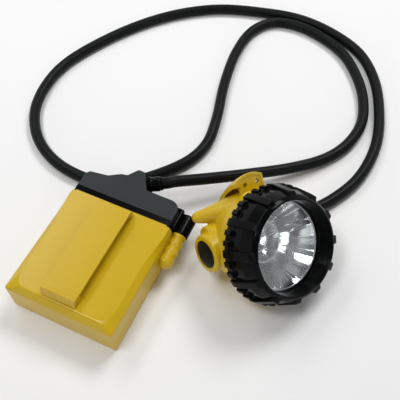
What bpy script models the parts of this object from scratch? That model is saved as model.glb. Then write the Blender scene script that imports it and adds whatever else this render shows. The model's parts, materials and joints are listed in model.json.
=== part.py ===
"""Miner's cap lamp: a belt battery pack and a lamp head joined by a rubber cord.

The frame is the battery pack's: X across the pack, Y along it towards the black cover, Z up from the
surface that the pack lies on.  The head lies beside the pack on the flat of its housing.  Head pieces are
drawn in the head's own frame, which has Z along the beam, X towards the cord inlet, Y towards the hook
and its origin at the centre of the bezel's front lip; a depth is a distance behind that lip.
"""

import math

import bmesh
import bpy
from mathutils import Matrix, Vector

# Fits
GAP = 0.0003
SCREW_FIT = 0.0004

# Battery case
CASE_WIDTH = 0.0790
CASE_LENGTH = 0.0820
CASE_HEIGHT = 0.0295
CASE_WALL = 0.0026
CASE_CORNER = 0.0018
CASE_FOOT_CHAMFER = 0.0008
PANEL_INSET = 0.0040
PANEL_DROP = 0.0038
PANEL_CORNER = 0.0080
CAVITY_CHAMFER = 0.0025

# Belt loop and the shallow recess under it
LOOP_WIDTH = 0.0250
LOOP_OFFSET = -0.0013
LOOP_HEIGHT = 0.0070
LOOP_PLATE = 0.0027
LOOP_ROUND = 0.0026
LOOP_FRONT_FOOT = 0.0060
LOOP_REAR_FOOT = 0.0040
BELT_FRONT = 0.0130
BELT_REAR = 0.0055
BELT_RECESS = 0.0008
LOOP_EDGE = 0.0008
LOOP_PEG = 0.0015
LOOP_PEG_DEPTH = 0.0021
LOOP_PEG_SPACING = 0.0140

# End cover and its cord block
COVER_LEFT_INSET = 0.0021
COVER_RIGHT_INSET = 0.0025
COVER_LENGTH = 0.0208
COVER_TAPER = 0.0022
COVER_FALL = 0.0020
COVER_CUT = 0.0030
COVER_CORNER = 0.0080
COVER_WALL = 0.0028
COVER_EDGE = 0.0008
STRIP_LENGTH = 0.0052
STRIP_DROP = 0.0016
SPIGOT_LENGTH = 0.0050
SPIGOT_WALL = 0.0020
SEAL_DEPTH = 0.0013
SEAL_WIDTH = 0.0014
BLOCK_LENGTH = 0.0135
BLOCK_LEFT = -0.0215
BLOCK_SHOULDER = 0.0060
BLOCK_SHOULDER_LEFT = -0.0136
BLOCK_SHOULDER_RIGHT = -0.0090
BLOCK_SHOULDER_FALL = 0.0010
BLOCK_RIGHT = 0.0095
BLOCK_TIP = 0.0050
BLOCK_GLAND = 0.0088

# Lock screw, its lug on the cover and its boss on the case
LOCK_OFFSET = 0.0033
LOCK_HEIGHT = 0.0150
BOSS_RADIUS = 0.0056
BOSS_LENGTH = 0.0225
BOSS_OVERHANG = 0.0034
LUG_LENGTH = 0.0160
LUG_RADIUS = 0.0058
LUG_REACH = 0.0030
LUG_DROP = 0.0075
LUG_RISE = 0.0100
LUG_EDGE = 0.0016
LOCK_SHANK = 0.0020
LOCK_HEAD = 0.0036
LOCK_HEAD_LENGTH = 0.0034
LOCK_SEAT = 0.0060
LOCK_REACH = 0.0110
LOCK_KEY = 0.0018
INSERT_WALL = 0.0012
INSERT_LENGTH = 0.0120

# Cells and what holds them
CELL_COUNT = 4
CELL_NUB = 0.0030
CELL_NUB_HEIGHT = 0.0010
CELL_EDGE = 0.0008
LOWER_PAD = 0.0019
UPPER_PAD = 0.0022
FRONT_PAD = 0.0018
REAR_PAD = 0.0040
BUS_THICKNESS = 0.0004
BUS_HEIGHT = 0.0080
BOARD_THICKNESS = 0.0016
BOARD_HEIGHT = 0.0080
BOARD_MARGIN = 0.0020
CHIP_SIZE = 0.0060
CHIP_HEIGHT = 0.0018
CHIP_COUNT = 4
CHIP_PITCH = 0.0130

# Cord and its glands
CORD_RADIUS = 0.00435
GLAND_TURN = math.radians(32.0)
GLAND_HEIGHT = 0.0205
GLAND_LENGTH = 0.0098
GLAND_RADIUS = 0.0062
GLAND_TIP_RADIUS = 0.0055
GLAND_FLUTE = 0.0004
GLAND_FLUTES = 16
GLAND_GRIP = 0.30
GLAND_GRIP_END = 0.34
GLAND_NARROW_END = 0.94
TAIL_REACH = 0.0006
TAIL_INSIDE = 0.0066
COLLAR_WALL = 0.0008
COLLAR_LENGTH = 0.0030
POCKET_DEPTH = 0.0076
LEAD_SLOT = 0.0028

# Lamp head: place and tilt
HEAD_CENTRE = Vector((0.12255, 0.05214, 0.0465))
HEAD_AZIMUTH = math.radians(-19.0)
HEAD_ELEVATION = math.radians(41.6)
HEAD_ROLL = math.radians(-19.0)
HEAD_FLAT = 0.0006

# Bezel, lens and reflector
BEZEL_LIP = 0.0311
BEZEL_DEPTH = 0.0242
BEZEL_MOUTH = 0.0297
BEZEL_NOSE = 0.0338
BEZEL_WAIST = 0.0370
BEZEL_FLANGE = 0.0389
BEZEL_TIP = 0.0402
BEZEL_LIP_ROUND = 0.0007
BEZEL_LIP_SHARE = 0.4
FLANGE_DEPTH = 0.0055
RIB_COUNT = 12
RIB_PHASE = math.radians(19.0)
RIB_WIDTH = 0.0056
RIB_START = 0.0022
RIB_FRONT = 0.0362
RIB_SLOPE = math.radians(0.4)
TOOTH_WIDTH = 0.0040
LENS_DEPTH = 0.0116
LENS_THICKNESS = 0.0030
LENS_RADIUS = 0.0312
LENS_GASKET = 0.0016
COLLAR_RADIUS = 0.0326
COLLAR_BORE = 0.0299
REFLECTOR_WALL = 0.0012
REFLECTOR_LIP = 0.0025
REFLECTOR_STEP = 0.0140
REFLECTOR_STEP_RISE = 0.0085
REFLECTOR_LEDGE = 0.0007
REFLECTOR_INNER = 0.0075
REFLECTOR_INNER_RISE = 0.0030
REFLECTOR_THROAT = 0.0044
HEAD_SEAL = 0.0016
HEAD_SEAL_DEPTH = 0.0190

# Lamp housing
HOUSING_RADIUS = 0.0365
HOUSING_BAND = 0.0110
HOUSING_CONE_START = 0.0280
HOUSING_CONE_REAR = 0.0100
HOUSING_STEP = 0.0008
HOUSING_REAR_FALL = 0.0053
HOUSING_DEPTH = 0.0600
HOUSING_ROUND = 0.0050
HOUSING_WALL = 0.0028

# Hook on top of the housing
HOOK_LEFT = 0.0128
HOOK_RIGHT = 0.0115
HOOK_PLATE_LEFT = 0.0085
HOOK_PLATE_DEPTH = 0.0340
HOOK_RISE = 0.0121
HOOK_CROWN = 0.0034
HOOK_WALL = 0.0030
HOOK_BULGE = 0.0022
HOOK_ROOT_FALL = 0.0033
HOOK_HOLE = 0.0016
HOOK_HOLE_SPACING = 0.0102
HOOK_HOLE_SHIFT = 0.0012
HOOK_HOLE_RISE = 0.0046
HOOK_EDGE = 0.0008
HOOK_STEPS = 6

# Tapered spur that runs out from under the hook
SPUR_TIP = Vector((-0.0347, 0.0260, GAP / 3 - HOUSING_DEPTH))
SPUR_TURN = math.radians(34.0)
SPUR_LENGTH = 0.0340
SPUR_BASE = 0.0106
SPUR_END = 0.0040

# Switch
SWITCH_STAND = 0.0035
SWITCH_HEIGHT = 0.0046
SWITCH_INSET = 0.0158
SWITCH_BOSS = 0.0131
SWITCH_BOSS_EDGE = 0.0016
CHEEK_FALL = 0.0030
CHEEK_HEIGHT = 0.0125
CHEEK_INSET = 0.0110
CHEEK_RADIUS = 0.0084
BUTTON_RADIUS = 0.0093
BUTTON_CROWN = 0.0009
CROWN_STEPS = 4
BUTTON_SKIRT = 0.0054
BUTTON_FLANGE = 0.0012
BUTTON_STEM = 0.0030
BUTTON_TRAVEL = 0.0015
CARRIER_WALL = 0.0014
CARRIER_PLATE = 0.0015
SWITCH_BODY = 0.0090
SWITCH_PLUNGER = 0.0016
DRIVER_WIDTH = 0.0190
DRIVER_LENGTH = 0.0150
DRIVER_INNER = 0.0182

# Light source and the room it takes behind the reflector
LIGHT_ROOM = 0.0160
LED_BOARD = 0.0090
LED_SIZE = 0.0050
LED_BASE = 0.0009
LED_DOME = 0.0021
SINK_LEFT = 0.0140
SINK_RIGHT = 0.0110
SINK_LOW = 0.0012
SINK_HIGH = 0.0172
SINK_GROOVE = 0.0020
SINK_GROOVES = 3

# Head cord inlet
INLET_STAND = 0.0045
INLET_HEIGHT = 0.0028
INLET_INSET = 0.0155
INLET_RADIUS = 0.0074
HEAD_GLAND_LENGTH = 0.0088
HEAD_GLAND_RADIUS = 0.0060
HEAD_GLAND_TIP = 0.0052
HEAD_TAIL_INSIDE = 0.0195

# Route of the cord from the battery gland to the head gland, chosen by hand: plan places, and heights of
# its centre where it hangs above the surface
CORD_LIFT = 0.00005
CORD_LAID = CORD_RADIUS + CORD_LIFT
CORD_ROUTE = (
    (0.0211, 0.0828, 0.0198),
    (0.0391, 0.0960, 0.0170),
    (0.0665, 0.1168, 0.0130),
    (0.0915, 0.1380, 0.0085),
    (0.1120, 0.1600, 0.0050),
    (0.1235, 0.1810, CORD_LAID),
    (0.1278, 0.2080, CORD_LAID),
    (0.1205, 0.2370, CORD_LAID),
    (0.1070, 0.2610, CORD_LAID),
    (0.0890, 0.2810, CORD_LAID),
    (0.0640, 0.2940, CORD_LAID),
    (0.0400, 0.2990, CORD_LAID),
    (0.0185, 0.2940, CORD_LAID),
    (0.0055, 0.2760, CORD_LAID),
    (0.0025, 0.2450, CORD_LAID),
    (0.0085, 0.2030, CORD_LAID),
    (0.0190, 0.1620, CORD_LAID),
    (0.0222, 0.1360, CORD_LAID),
    (0.0165, 0.1150, CORD_LAID),
    (-0.0024, 0.0895, CORD_LAID),
    (-0.0230, 0.0725, CORD_LAID),
    (-0.0495, 0.0668, CORD_LAID),
    (-0.0800, 0.0716, CORD_LAID),
    (-0.1060, 0.0875, CORD_LAID),
    (-0.1245, 0.1150, CORD_LAID),
    (-0.1300, 0.1570, CORD_LAID),
    (-0.1140, 0.2040, CORD_LAID),
    (-0.0800, 0.2555, CORD_LAID),
    (-0.0400, 0.2880, CORD_LAID),
    (0.0036, 0.3032, CORD_LAID),
    (0.0400, 0.3086, CORD_LAID),
    (0.0740, 0.3020, CORD_LAID),
    (0.1030, 0.2870, CORD_LAID),
    (0.1230, 0.2620, CORD_LAID),
    (0.1375, 0.2265, CORD_LAID),
    (0.1449, 0.1888, CORD_LAID),
    (0.1410, 0.1526, CORD_LAID),
    (0.1294, 0.1267, CORD_LAID),
)
CORD_STEPS = 2
CORD_LEAD = 0.0045

# Fineness of round pieces
FINE = 48
MEDIUM = 28
COARSE = 16
FACET_TURN = math.radians(1.7)
MERGE = 1e-7

# Places worked out from the sizes above
CASE_X = CASE_WIDTH / 2
CASE_Y = CASE_LENGTH / 2
CAVITY_X = CASE_X - CASE_WALL
CAVITY_TOP = CASE_HEIGHT - BELT_RECESS - CASE_WALL
CAVITY_FRONT = -CASE_Y + CASE_WALL
BELT_START = -CASE_Y + BELT_FRONT
BELT_END = CASE_Y - BELT_REAR
LOOP_UNDER = CASE_HEIGHT + LOOP_HEIGHT - LOOP_PLATE
COVER_LEFT = CASE_X - COVER_LEFT_INSET
COVER_RIGHT = CASE_X - COVER_RIGHT_INSET
COVER_START = CASE_Y + GAP
COVER_END = COVER_START + COVER_LENGTH
COVER_INSIDE = COVER_END - COVER_WALL
SPIGOT_START = CASE_Y - SPIGOT_LENGTH
LOCK_X = CASE_X + LOCK_OFFSET
BOSS_END = CASE_Y + BOSS_OVERHANG
LUG_START = BOSS_END + GAP
INSERT_RADIUS = LOCK_SHANK + SCREW_FIT + INSERT_WALL
CELL_START = CAVITY_FRONT + FRONT_PAD + BUS_THICKNESS + 3 * GAP
CELL_END = SPIGOT_START - REAR_PAD - BUS_THICKNESS - 3 * GAP
CELL_LENGTH = CELL_END - CELL_NUB_HEIGHT - CELL_START
CELL_PITCH = 2 * (CAVITY_X - GAP) / CELL_COUNT
CELL_ROOM = CAVITY_TOP - CASE_WALL - LOWER_PAD - UPPER_PAD - 4 * GAP
CELL_RADIUS = min(CELL_PITCH - GAP / 3, CELL_ROOM) / 2
CELL_HEIGHT = CASE_WALL + LOWER_PAD + 2 * GAP + CELL_RADIUS
BORE_RADIUS = CORD_RADIUS + GAP
GLAND_AXIS = Vector((math.cos(GLAND_TURN), math.sin(GLAND_TURN), 0.0))
GLAND_X = BLOCK_RIGHT - BLOCK_GLAND * math.tan(GLAND_TURN)
GLAND_FACE = Vector((GLAND_X, COVER_END + BLOCK_GLAND, GLAND_HEIGHT))
LENS_BACK = LENS_DEPTH + LENS_THICKNESS
GASKET_DEPTH = LENS_BACK + GAP
COLLAR_START = GASKET_DEPTH + LENS_GASKET + GAP
BEZEL_BORE = COLLAR_RADIUS + SCREW_FIT
SHOULDER = BEZEL_DEPTH + GAP
BAND_END = SHOULDER + HOUSING_BAND
BACK_INSIDE = HOUSING_DEPTH - HOUSING_WALL
HOUSING_REAR = HOUSING_RADIUS - HOUSING_REAR_FALL
HOOK_TOP = HOUSING_RADIUS + HOOK_RISE
HOOK_ROOT = HOUSING_RADIUS - HOOK_ROOT_FALL
HOOK_HOLE_HEIGHT = HOUSING_RADIUS + HOOK_HOLE_RISE
SWITCH_REACH = HOUSING_RADIUS + SWITCH_STAND
SWITCH_DEPTH = HOUSING_DEPTH - SWITCH_INSET
CHEEK_REACH = HOUSING_RADIUS - CHEEK_FALL
CHEEK_DEPTH = HOUSING_DEPTH - CHEEK_INSET
INLET_REACH = HOUSING_RADIUS + INLET_STAND
INLET_DEPTH = HOUSING_DEPTH - INLET_INSET
REFLECTOR_DEPTH = HOUSING_DEPTH - LIGHT_ROOM
REFLECTOR_STEP_DEPTH = REFLECTOR_DEPTH - REFLECTOR_STEP_RISE
REFLECTOR_INNER_DEPTH = REFLECTOR_DEPTH - REFLECTOR_INNER_RISE
LED_FRONT = REFLECTOR_DEPTH + LED_BASE + 2 * GAP
LED_SEAT = LED_FRONT + GAP
SINK_START = LED_SEAT + BOARD_THICKNESS + GAP
SINK_END = BACK_INSIDE - GAP
CARRIER_RADIUS = BUTTON_RADIUS + CARRIER_WALL
CARRIER_START = BUTTON_SKIRT + BUTTON_FLANGE + BUTTON_TRAVEL + GAP
STEM_END = CARRIER_START + CARRIER_PLATE
PLUNGER_START = STEM_END + BUTTON_TRAVEL + GAP
DRIVER_START = SWITCH_REACH - DRIVER_INNER - BOARD_THICKNESS
CARRIER_END = DRIVER_START - GAP
LOW_SIDE = SWITCH_HEIGHT - SWITCH_BOSS + GAP
CREST_RADIUS = HOUSING_RADIUS - GAP


def clear_scene():
    """Remove every object of the open scene."""
    for item in list(bpy.data.objects):
        bpy.data.objects.remove(item)


def finish(name, colour, roughness, metallic=0.0):
    """Return a Principled material with a linear colour."""
    material = bpy.data.materials.new(name)
    material.use_nodes = True
    shader = material.node_tree.nodes["Principled BSDF"]
    shader.inputs["Base Color"].default_value = (*colour, 1.0)
    shader.inputs["Roughness"].default_value = roughness
    shader.inputs["Metallic"].default_value = metallic
    return material


def place(name, mesh, parent):
    """Link a new object that holds the mesh and rides on the parent."""
    item = bpy.data.objects.new(name, mesh)
    bpy.context.collection.objects.link(item)
    item.parent = parent
    return item


def face_out(shape):
    """Point every face of one closed shape outwards."""
    bmesh.ops.recalc_face_normals(shape, faces=shape.faces)
    if shape.calc_volume(signed=True) < 0:
        bmesh.ops.reverse_faces(shape, faces=shape.faces)


def solid(name, shape, material, parent=None, round_angle=math.radians(35.0)):
    """Turn a finished shape into a named sub-part with one material."""
    face_out(shape)
    mesh = bpy.data.meshes.new(name)
    shape.to_mesh(mesh)
    shape.free()
    mesh.materials.append(material)
    mesh.shade_smooth()
    mesh.set_sharp_from_angle(angle=round_angle)
    return place(name, mesh, parent)


def helper(name, shape, parent=None):
    """Turn a shape into a hidden helper that only shapes other pieces."""
    face_out(shape)
    mesh = bpy.data.meshes.new(name)
    shape.to_mesh(mesh)
    shape.free()
    item = place(name, mesh, parent)
    item.hide_render = True
    item.display_type = "WIRE"
    return item


def combine(target, other, operation):
    """Add a Boolean of the other object to the target."""
    modifier = target.modifiers.new(other.name, "BOOLEAN")
    modifier.object = other
    modifier.operation = operation
    modifier.solver = "EXACT"


def soften(target, width, segments=2, angle=math.radians(40.0)):
    """Round the target's edges that are sharper than the angle."""
    modifier = target.modifiers.new("edges", "BEVEL")
    modifier.width = width
    modifier.segments = segments
    modifier.limit_method = "ANGLE"
    modifier.angle_limit = angle


def loft(rings, closed=False):
    """Bridge rings of equal point counts, and cap both ends unless the loft closes on itself."""
    shape = bmesh.new()
    loops = [[shape.verts.new(point) for point in ring] for ring in rings]
    count = len(loops[0])
    followers = loops[1:] + loops[:1] if closed else loops[1:]
    for low, high in zip(loops, followers):
        for index in range(count):
            after = (index + 1) % count
            shape.faces.new((low[index], low[after], high[after], high[index]))
    if not closed:
        shape.faces.new(list(reversed(loops[0])))
        shape.faces.new(loops[-1])
    return shape


def turned(profile, segments):
    """Spin an outline of (radius, height) points once round Z."""
    shape = bmesh.new()
    points = [shape.verts.new((radius, 0.0, height)) for radius, height in profile]
    on_axis = profile[0][0] == 0.0 and profile[-1][0] == 0.0
    followers = points[1:] if on_axis else points[1:] + points[:1]
    edges = [shape.edges.new(pair) for pair in zip(points, followers)]
    bmesh.ops.spin(shape, geom=points + edges, cent=(0, 0, 0), axis=(0, 0, 1), angle=2 * math.pi,
                   steps=segments, use_merge=True)
    bmesh.ops.remove_doubles(shape, verts=shape.verts, dist=MERGE)
    return shape


def prism(outline, low, high):
    """Extrude an outline of (x, y) points from one height to another."""
    return loft([[(x, y, height) for x, y in outline] for height in (low, high)])


def box(low, high):
    """Return a box between two corners."""
    outline = ((low[0], low[1]), (high[0], low[1]), (high[0], high[1]), (low[0], high[1]))
    return prism(outline, low[2], high[2])


def cylinder(radius, low, high, segments=MEDIUM):
    """Return a cylinder along Z."""
    return turned(((0.0, high), (radius, high), (radius, low), (0.0, low)), segments)


def joined(*shapes):
    """Gather shapes that stay clear of each other into one."""
    whole = bmesh.new()
    for shape in shapes:
        face_out(shape)
        mesh = bpy.data.meshes.new("gathered")
        shape.to_mesh(mesh)
        shape.free()
        whole.from_mesh(mesh)
        bpy.data.meshes.remove(mesh)
    return whole


def moved(shape, frame):
    """Move a shape into a frame."""
    shape.transform(frame)
    return shape


def frame_of(origin, axis, up=Vector((0, 0, 1))):
    """Return the frame at the origin whose Z runs along the axis."""
    z = Vector(axis).normalized()
    x = Vector(up).cross(z).normalized()
    y = z.cross(x)
    turn = Matrix((x, y, z)).transposed().to_4x4()
    return Matrix.Translation(origin) @ turn


def arc(centre, radius, start, end, steps):
    """Return points of an arc, both ends included, with angles in degrees."""
    angles = [math.radians(start + (end - start) * step / steps) for step in range(steps + 1)]
    return [(centre[0] + radius * math.cos(angle), centre[1] + radius * math.sin(angle)) for angle in angles]


def along_y(shape):
    """Stand a shape drawn in X and Y, raised along Z, into X and Z along Y."""
    return moved(shape, Matrix(((1, 0, 0, 0), (0, 0, 1, 0), (0, 1, 0, 0), (0, 0, 0, 1))))


def along_x(shape):
    """Stand a shape drawn in X and Y, raised along Z, into Y and Z along X."""
    return moved(shape, Matrix(((0, 0, 1, 0), (1, 0, 0, 0), (0, 1, 0, 0), (0, 0, 0, 1))))


def head_frame():
    """Return the head's frame from its place and its three angles."""
    beam = Vector((math.cos(HEAD_ELEVATION) * math.cos(HEAD_AZIMUTH),
                   math.cos(HEAD_ELEVATION) * math.sin(HEAD_AZIMUTH), math.sin(HEAD_ELEVATION)))
    level = Vector((-math.sin(HEAD_AZIMUTH), math.cos(HEAD_AZIMUTH), 0.0))
    side = math.cos(HEAD_ROLL) * level + math.sin(HEAD_ROLL) * beam.cross(level)
    turn = Matrix((side, beam.cross(side), beam)).transposed().to_4x4()
    return Matrix.Translation(HEAD_CENTRE) @ turn


def cavity_section(inset):
    """Return the outline, in X and Z, of the case's inside, drawn in by an inset."""
    x = CAVITY_X - inset
    low = CASE_WALL + inset
    high = CAVITY_TOP - inset
    cut = CAVITY_CHAMFER
    return ((-x, low), (x, low), (x, high - cut), (x - cut, high), (-x + cut, high), (-x, high - cut))


def case_outline(inset, corner):
    """Return the case's outline from above, drawn in at its front and sides."""
    x = CASE_X - inset
    front = -CASE_Y + inset
    left = arc((-x + corner, front + corner), corner, 180, 270, 5)
    right = arc((x - corner, front + corner), corner, 270, 360, 5)
    return [(-x, CASE_Y), *left, *right, (x, CASE_Y)]


def lock_frame(y):
    """Return the frame on the lock screw's axis that looks along Y."""
    return frame_of(Vector((LOCK_X, y, LOCK_HEIGHT)), (0, 1, 0))


def build_case(yellow):
    """Make the battery case: an open box with a raised panel, belt recess and lock boss."""
    levels = ((0.0, CASE_FOOT_CHAMFER, CASE_CORNER), (CASE_FOOT_CHAMFER, 0.0, CASE_CORNER),
              (CASE_HEIGHT - PANEL_DROP, 0.0, CASE_CORNER), (CASE_HEIGHT, PANEL_INSET, PANEL_CORNER))
    rings = [[(x, y, z) for x, y in case_outline(inset, corner)] for z, inset, corner in levels]
    case = solid("battery_case", loft(rings), yellow)
    dome = arc((0.0, -BOSS_LENGTH + BOSS_RADIUS), BOSS_RADIUS, -90, 0, 6)
    boss = moved(turned([(0.0, BOSS_OVERHANG), (BOSS_RADIUS, BOSS_OVERHANG), *reversed(dome[1:]),
                         (0.0, -BOSS_LENGTH)], MEDIUM), lock_frame(CASE_Y))
    combine(case, helper("case_boss", boss), "UNION")
    inside = along_y(prism(cavity_section(0.0), CAVITY_FRONT, CASE_Y + CASE_WALL))
    combine(case, helper("case_inside", inside), "DIFFERENCE")
    recess = box((-CASE_WIDTH, BELT_START, CASE_HEIGHT - BELT_RECESS),
                 (CASE_WIDTH, BELT_END, CASE_HEIGHT * 2))
    combine(case, helper("belt_recess", recess), "DIFFERENCE")
    holes = []
    for place_x, place_y in loop_pegs():
        hole = cylinder(LOOP_PEG + GAP, CASE_HEIGHT - LOOP_PEG_DEPTH - GAP, CASE_HEIGHT + CASE_WALL, COARSE)
        holes.append(moved(hole, Matrix.Translation((place_x, place_y, 0.0))))
    combine(case, helper("loop_peg_holes", joined(*holes)), "DIFFERENCE")
    bore_end = BOSS_OVERHANG - INSERT_LENGTH - GAP
    bore = cylinder(INSERT_RADIUS + GAP, bore_end, BOSS_OVERHANG + CASE_WALL, COARSE)
    combine(case, helper("insert_bore", moved(bore, lock_frame(CASE_Y))), "DIFFERENCE")


def loop_pegs():
    """Return the plan places of the pegs that hold the belt loop."""
    front = BELT_START - LOOP_FRONT_FOOT / 2
    rear = BELT_END + LOOP_REAR_FOOT / 2
    sides = (LOOP_OFFSET - LOOP_PEG_SPACING / 2, LOOP_OFFSET + LOOP_PEG_SPACING / 2)
    return [(x, y) for y in (front, rear) for x in sides]


def build_loop(yellow):
    """Make the belt loop: a strap on two feet, with pegs set into the case's panel."""
    foot = CASE_HEIGHT + GAP
    top = CASE_HEIGHT + LOOP_HEIGHT
    front = BELT_START - LOOP_FRONT_FOOT
    rear = BELT_END + LOOP_REAR_FOOT
    bend = LOOP_ROUND
    outline = [(front, foot), *arc((front + bend, top - bend), bend, 180, 90, 3),
               *arc((rear - bend, top - bend), bend, 90, 0, 3), (rear, foot), (BELT_END, foot),
               (BELT_END, LOOP_UNDER), (BELT_START, LOOP_UNDER), (BELT_START, foot)]
    strap = along_x(prism(outline, LOOP_OFFSET - LOOP_WIDTH / 2, LOOP_OFFSET + LOOP_WIDTH / 2))
    loop = solid("belt_loop", strap, yellow)
    soften(loop, LOOP_EDGE, 2, math.radians(60.0))
    pegs = []
    for place_x, place_y in loop_pegs():
        peg = cylinder(LOOP_PEG, CASE_HEIGHT - LOOP_PEG_DEPTH, foot + LOOP_PLATE, COARSE)
        pegs.append(moved(peg, Matrix.Translation((place_x, place_y, 0.0))))
    combine(loop, helper("loop_pegs", joined(*pegs)), "UNION")


def cover_outline():
    """Return the cover's outline from above, with its cord block."""
    corner = arc((COVER_RIGHT - COVER_CORNER, COVER_END - COVER_CORNER), COVER_CORNER, 0, 90, 5)
    tip = COVER_END + BLOCK_LENGTH
    tip_right = BLOCK_RIGHT - BLOCK_LENGTH * math.tan(GLAND_TURN)
    shoulder = COVER_END + BLOCK_SHOULDER
    slope = [(tip_right - BLOCK_TIP, tip), (BLOCK_SHOULDER_RIGHT, shoulder),
             (BLOCK_SHOULDER_LEFT, shoulder - BLOCK_SHOULDER_FALL), (BLOCK_LEFT, COVER_END)]
    back = COVER_END - COVER_FALL
    left = [(-COVER_LEFT + COVER_TAPER, back), (-COVER_LEFT, back - COVER_CUT)]
    return [(-COVER_LEFT, COVER_START), (COVER_RIGHT, COVER_START), *corner, (BLOCK_RIGHT, COVER_END),
            (tip_right, tip), *slope, *left]


def build_cover(black):
    """Make the end cover: cap, cord block, spigot into the case, lock lug, and their hollows."""
    cover = solid("battery_cover", prism(cover_outline(), 0.0, CASE_HEIGHT), black)
    soften(cover, COVER_EDGE)
    strip = COVER_START + STRIP_LENGTH
    above = CASE_HEIGHT + STRIP_DROP
    wedge = ((COVER_START - GAP, CASE_HEIGHT - STRIP_DROP), (strip, CASE_HEIGHT), (strip, above),
             (COVER_START - GAP, above))
    cut = along_x(prism(wedge, -CASE_WIDTH, CASE_WIDTH))
    combine(cover, helper("cover_strip", cut), "DIFFERENCE")
    lug = box((COVER_RIGHT - COVER_CORNER, LUG_START, LOCK_HEIGHT - LUG_DROP),
              (COVER_RIGHT + LUG_REACH, COVER_END - COVER_EDGE, LOCK_HEIGHT + LUG_RISE))
    lug_block = helper("cover_lug", lug)
    soften(lug_block, LUG_EDGE)
    combine(cover, lug_block, "UNION")
    rim = LUG_RADIUS - LUG_EDGE / 2
    barrel = turned(((0.0, LUG_LENGTH), (rim, LUG_LENGTH), (LUG_RADIUS, LUG_LENGTH - LUG_EDGE / 2),
                     (LUG_RADIUS, 0.0), (0.0, 0.0)), COARSE)
    combine(cover, helper("lug_barrel", moved(barrel, lock_frame(LUG_START))), "UNION")
    groove = GAP + SEAL_DEPTH
    seal_start = SPIGOT_START + SPIGOT_WALL
    seal_end = seal_start + SEAL_WIDTH + 2 * GAP
    steps = ((SPIGOT_START, GAP), (seal_start, GAP), (seal_start, groove), (seal_end, groove),
             (seal_end, GAP), (COVER_START + COVER_WALL, GAP))
    spigot = loft([[(x, y, z) for x, z in cavity_section(inset)] for y, inset in steps])
    combine(cover, helper("cover_spigot", spigot), "UNION")
    hollow = cavity_section(GAP + SEAL_DEPTH + SPIGOT_WALL)
    inside = along_y(prism(hollow, SPIGOT_START - CASE_WALL, COVER_INSIDE))
    combine(cover, helper("cover_inside", inside), "DIFFERENCE")
    gland = frame_of(GLAND_FACE, GLAND_AXIS)
    bore = moved(cylinder(BORE_RADIUS, -COVER_WALL - GAP, CASE_WALL), gland)
    combine(cover, helper("gland_bore", bore), "DIFFERENCE")
    half = BORE_RADIUS + COLLAR_WALL + GAP
    pocket = box((-half, -half, -POCKET_DEPTH), (half, half, -COVER_WALL))
    combine(cover, helper("cord_pocket", moved(pocket, gland)), "DIFFERENCE")
    slot_start = GLAND_FACE - GLAND_AXIS * (POCKET_DEPTH - LEAD_SLOT)
    slot = moved(cylinder(LEAD_SLOT, COVER_INSIDE - COVER_WALL, slot_start.y, COARSE),
                 frame_of(Vector((slot_start.x, 0.0, GLAND_HEIGHT)), (0, 1, 0)))
    combine(cover, helper("lead_slot", slot), "DIFFERENCE")
    seat = LUG_LENGTH - LOCK_SEAT
    shank = LOCK_SHANK + SCREW_FIT
    mouth = LUG_LENGTH + LUG_EDGE
    wide = LOCK_HEAD + SCREW_FIT
    hole = turned(((0.0, mouth), (wide, mouth), (wide, seat), (shank, seat), (shank, -LUG_EDGE),
                   (0.0, -LUG_EDGE)), COARSE)
    combine(cover, helper("lock_hole", moved(hole, lock_frame(LUG_START))), "DIFFERENCE")


def build_cover_seal(rubber):
    """Make the rubber ring in the spigot's groove."""
    start = SPIGOT_START + SPIGOT_WALL + GAP
    corners = ((start, GAP), (start + SEAL_WIDTH, GAP), (start + SEAL_WIDTH, SEAL_DEPTH), (start, SEAL_DEPTH))
    rings = [[(x, y, z) for x, z in cavity_section(inset)] for y, inset in corners]
    solid("cover_seal", loft(rings, closed=True), rubber)


def build_lock(steel, brass):
    """Make the lock screw with its three-sided key recess, and the insert that it screws into."""
    seat = LUG_LENGTH - LOCK_SEAT + GAP
    reach = -LOCK_REACH
    profile = ((0.0, seat + LOCK_HEAD_LENGTH), (LOCK_HEAD, seat + LOCK_HEAD_LENGTH), (LOCK_HEAD, seat),
               (LOCK_SHANK, seat), (LOCK_SHANK, reach), (0.0, reach))
    screw = solid("cover_lock_screw", moved(turned(profile, COARSE), lock_frame(LUG_START)), steel)
    corners = arc((0.0, 0.0), LOCK_KEY, 90, 330, 2)
    key = prism(corners, seat + LOCK_HEAD_LENGTH / 2, seat + 2 * LOCK_HEAD_LENGTH)
    combine(screw, helper("lock_key", moved(key, lock_frame(LUG_START))), "DIFFERENCE")
    bore = LOCK_SHANK + SCREW_FIT
    ring = ((INSERT_RADIUS, BOSS_OVERHANG - GAP), (INSERT_RADIUS, BOSS_OVERHANG - INSERT_LENGTH),
            (bore, BOSS_OVERHANG - INSERT_LENGTH), (bore, BOSS_OVERHANG - GAP))
    solid("lock_insert", moved(turned(ring, COARSE), lock_frame(CASE_Y)), brass)


def build_cells(wrap):
    """Make the four cells side by side, positive ends towards the cover."""
    nub = CELL_LENGTH + CELL_NUB_HEIGHT
    rim = CELL_RADIUS - CELL_EDGE
    profile = ((0.0, nub), (CELL_NUB, nub), (CELL_NUB, CELL_LENGTH), (rim, CELL_LENGTH),
               (CELL_RADIUS, CELL_LENGTH - CELL_EDGE), (CELL_RADIUS, CELL_EDGE), (rim, 0.0), (0.0, 0.0))
    for index in range(CELL_COUNT):
        x = (index - (CELL_COUNT - 1) / 2) * CELL_PITCH
        frame = frame_of(Vector((x, CELL_START, CELL_HEIGHT)), (0, 1, 0))
        solid(f"cell_{index + 1}", moved(turned(profile, COARSE), frame), wrap)


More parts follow.
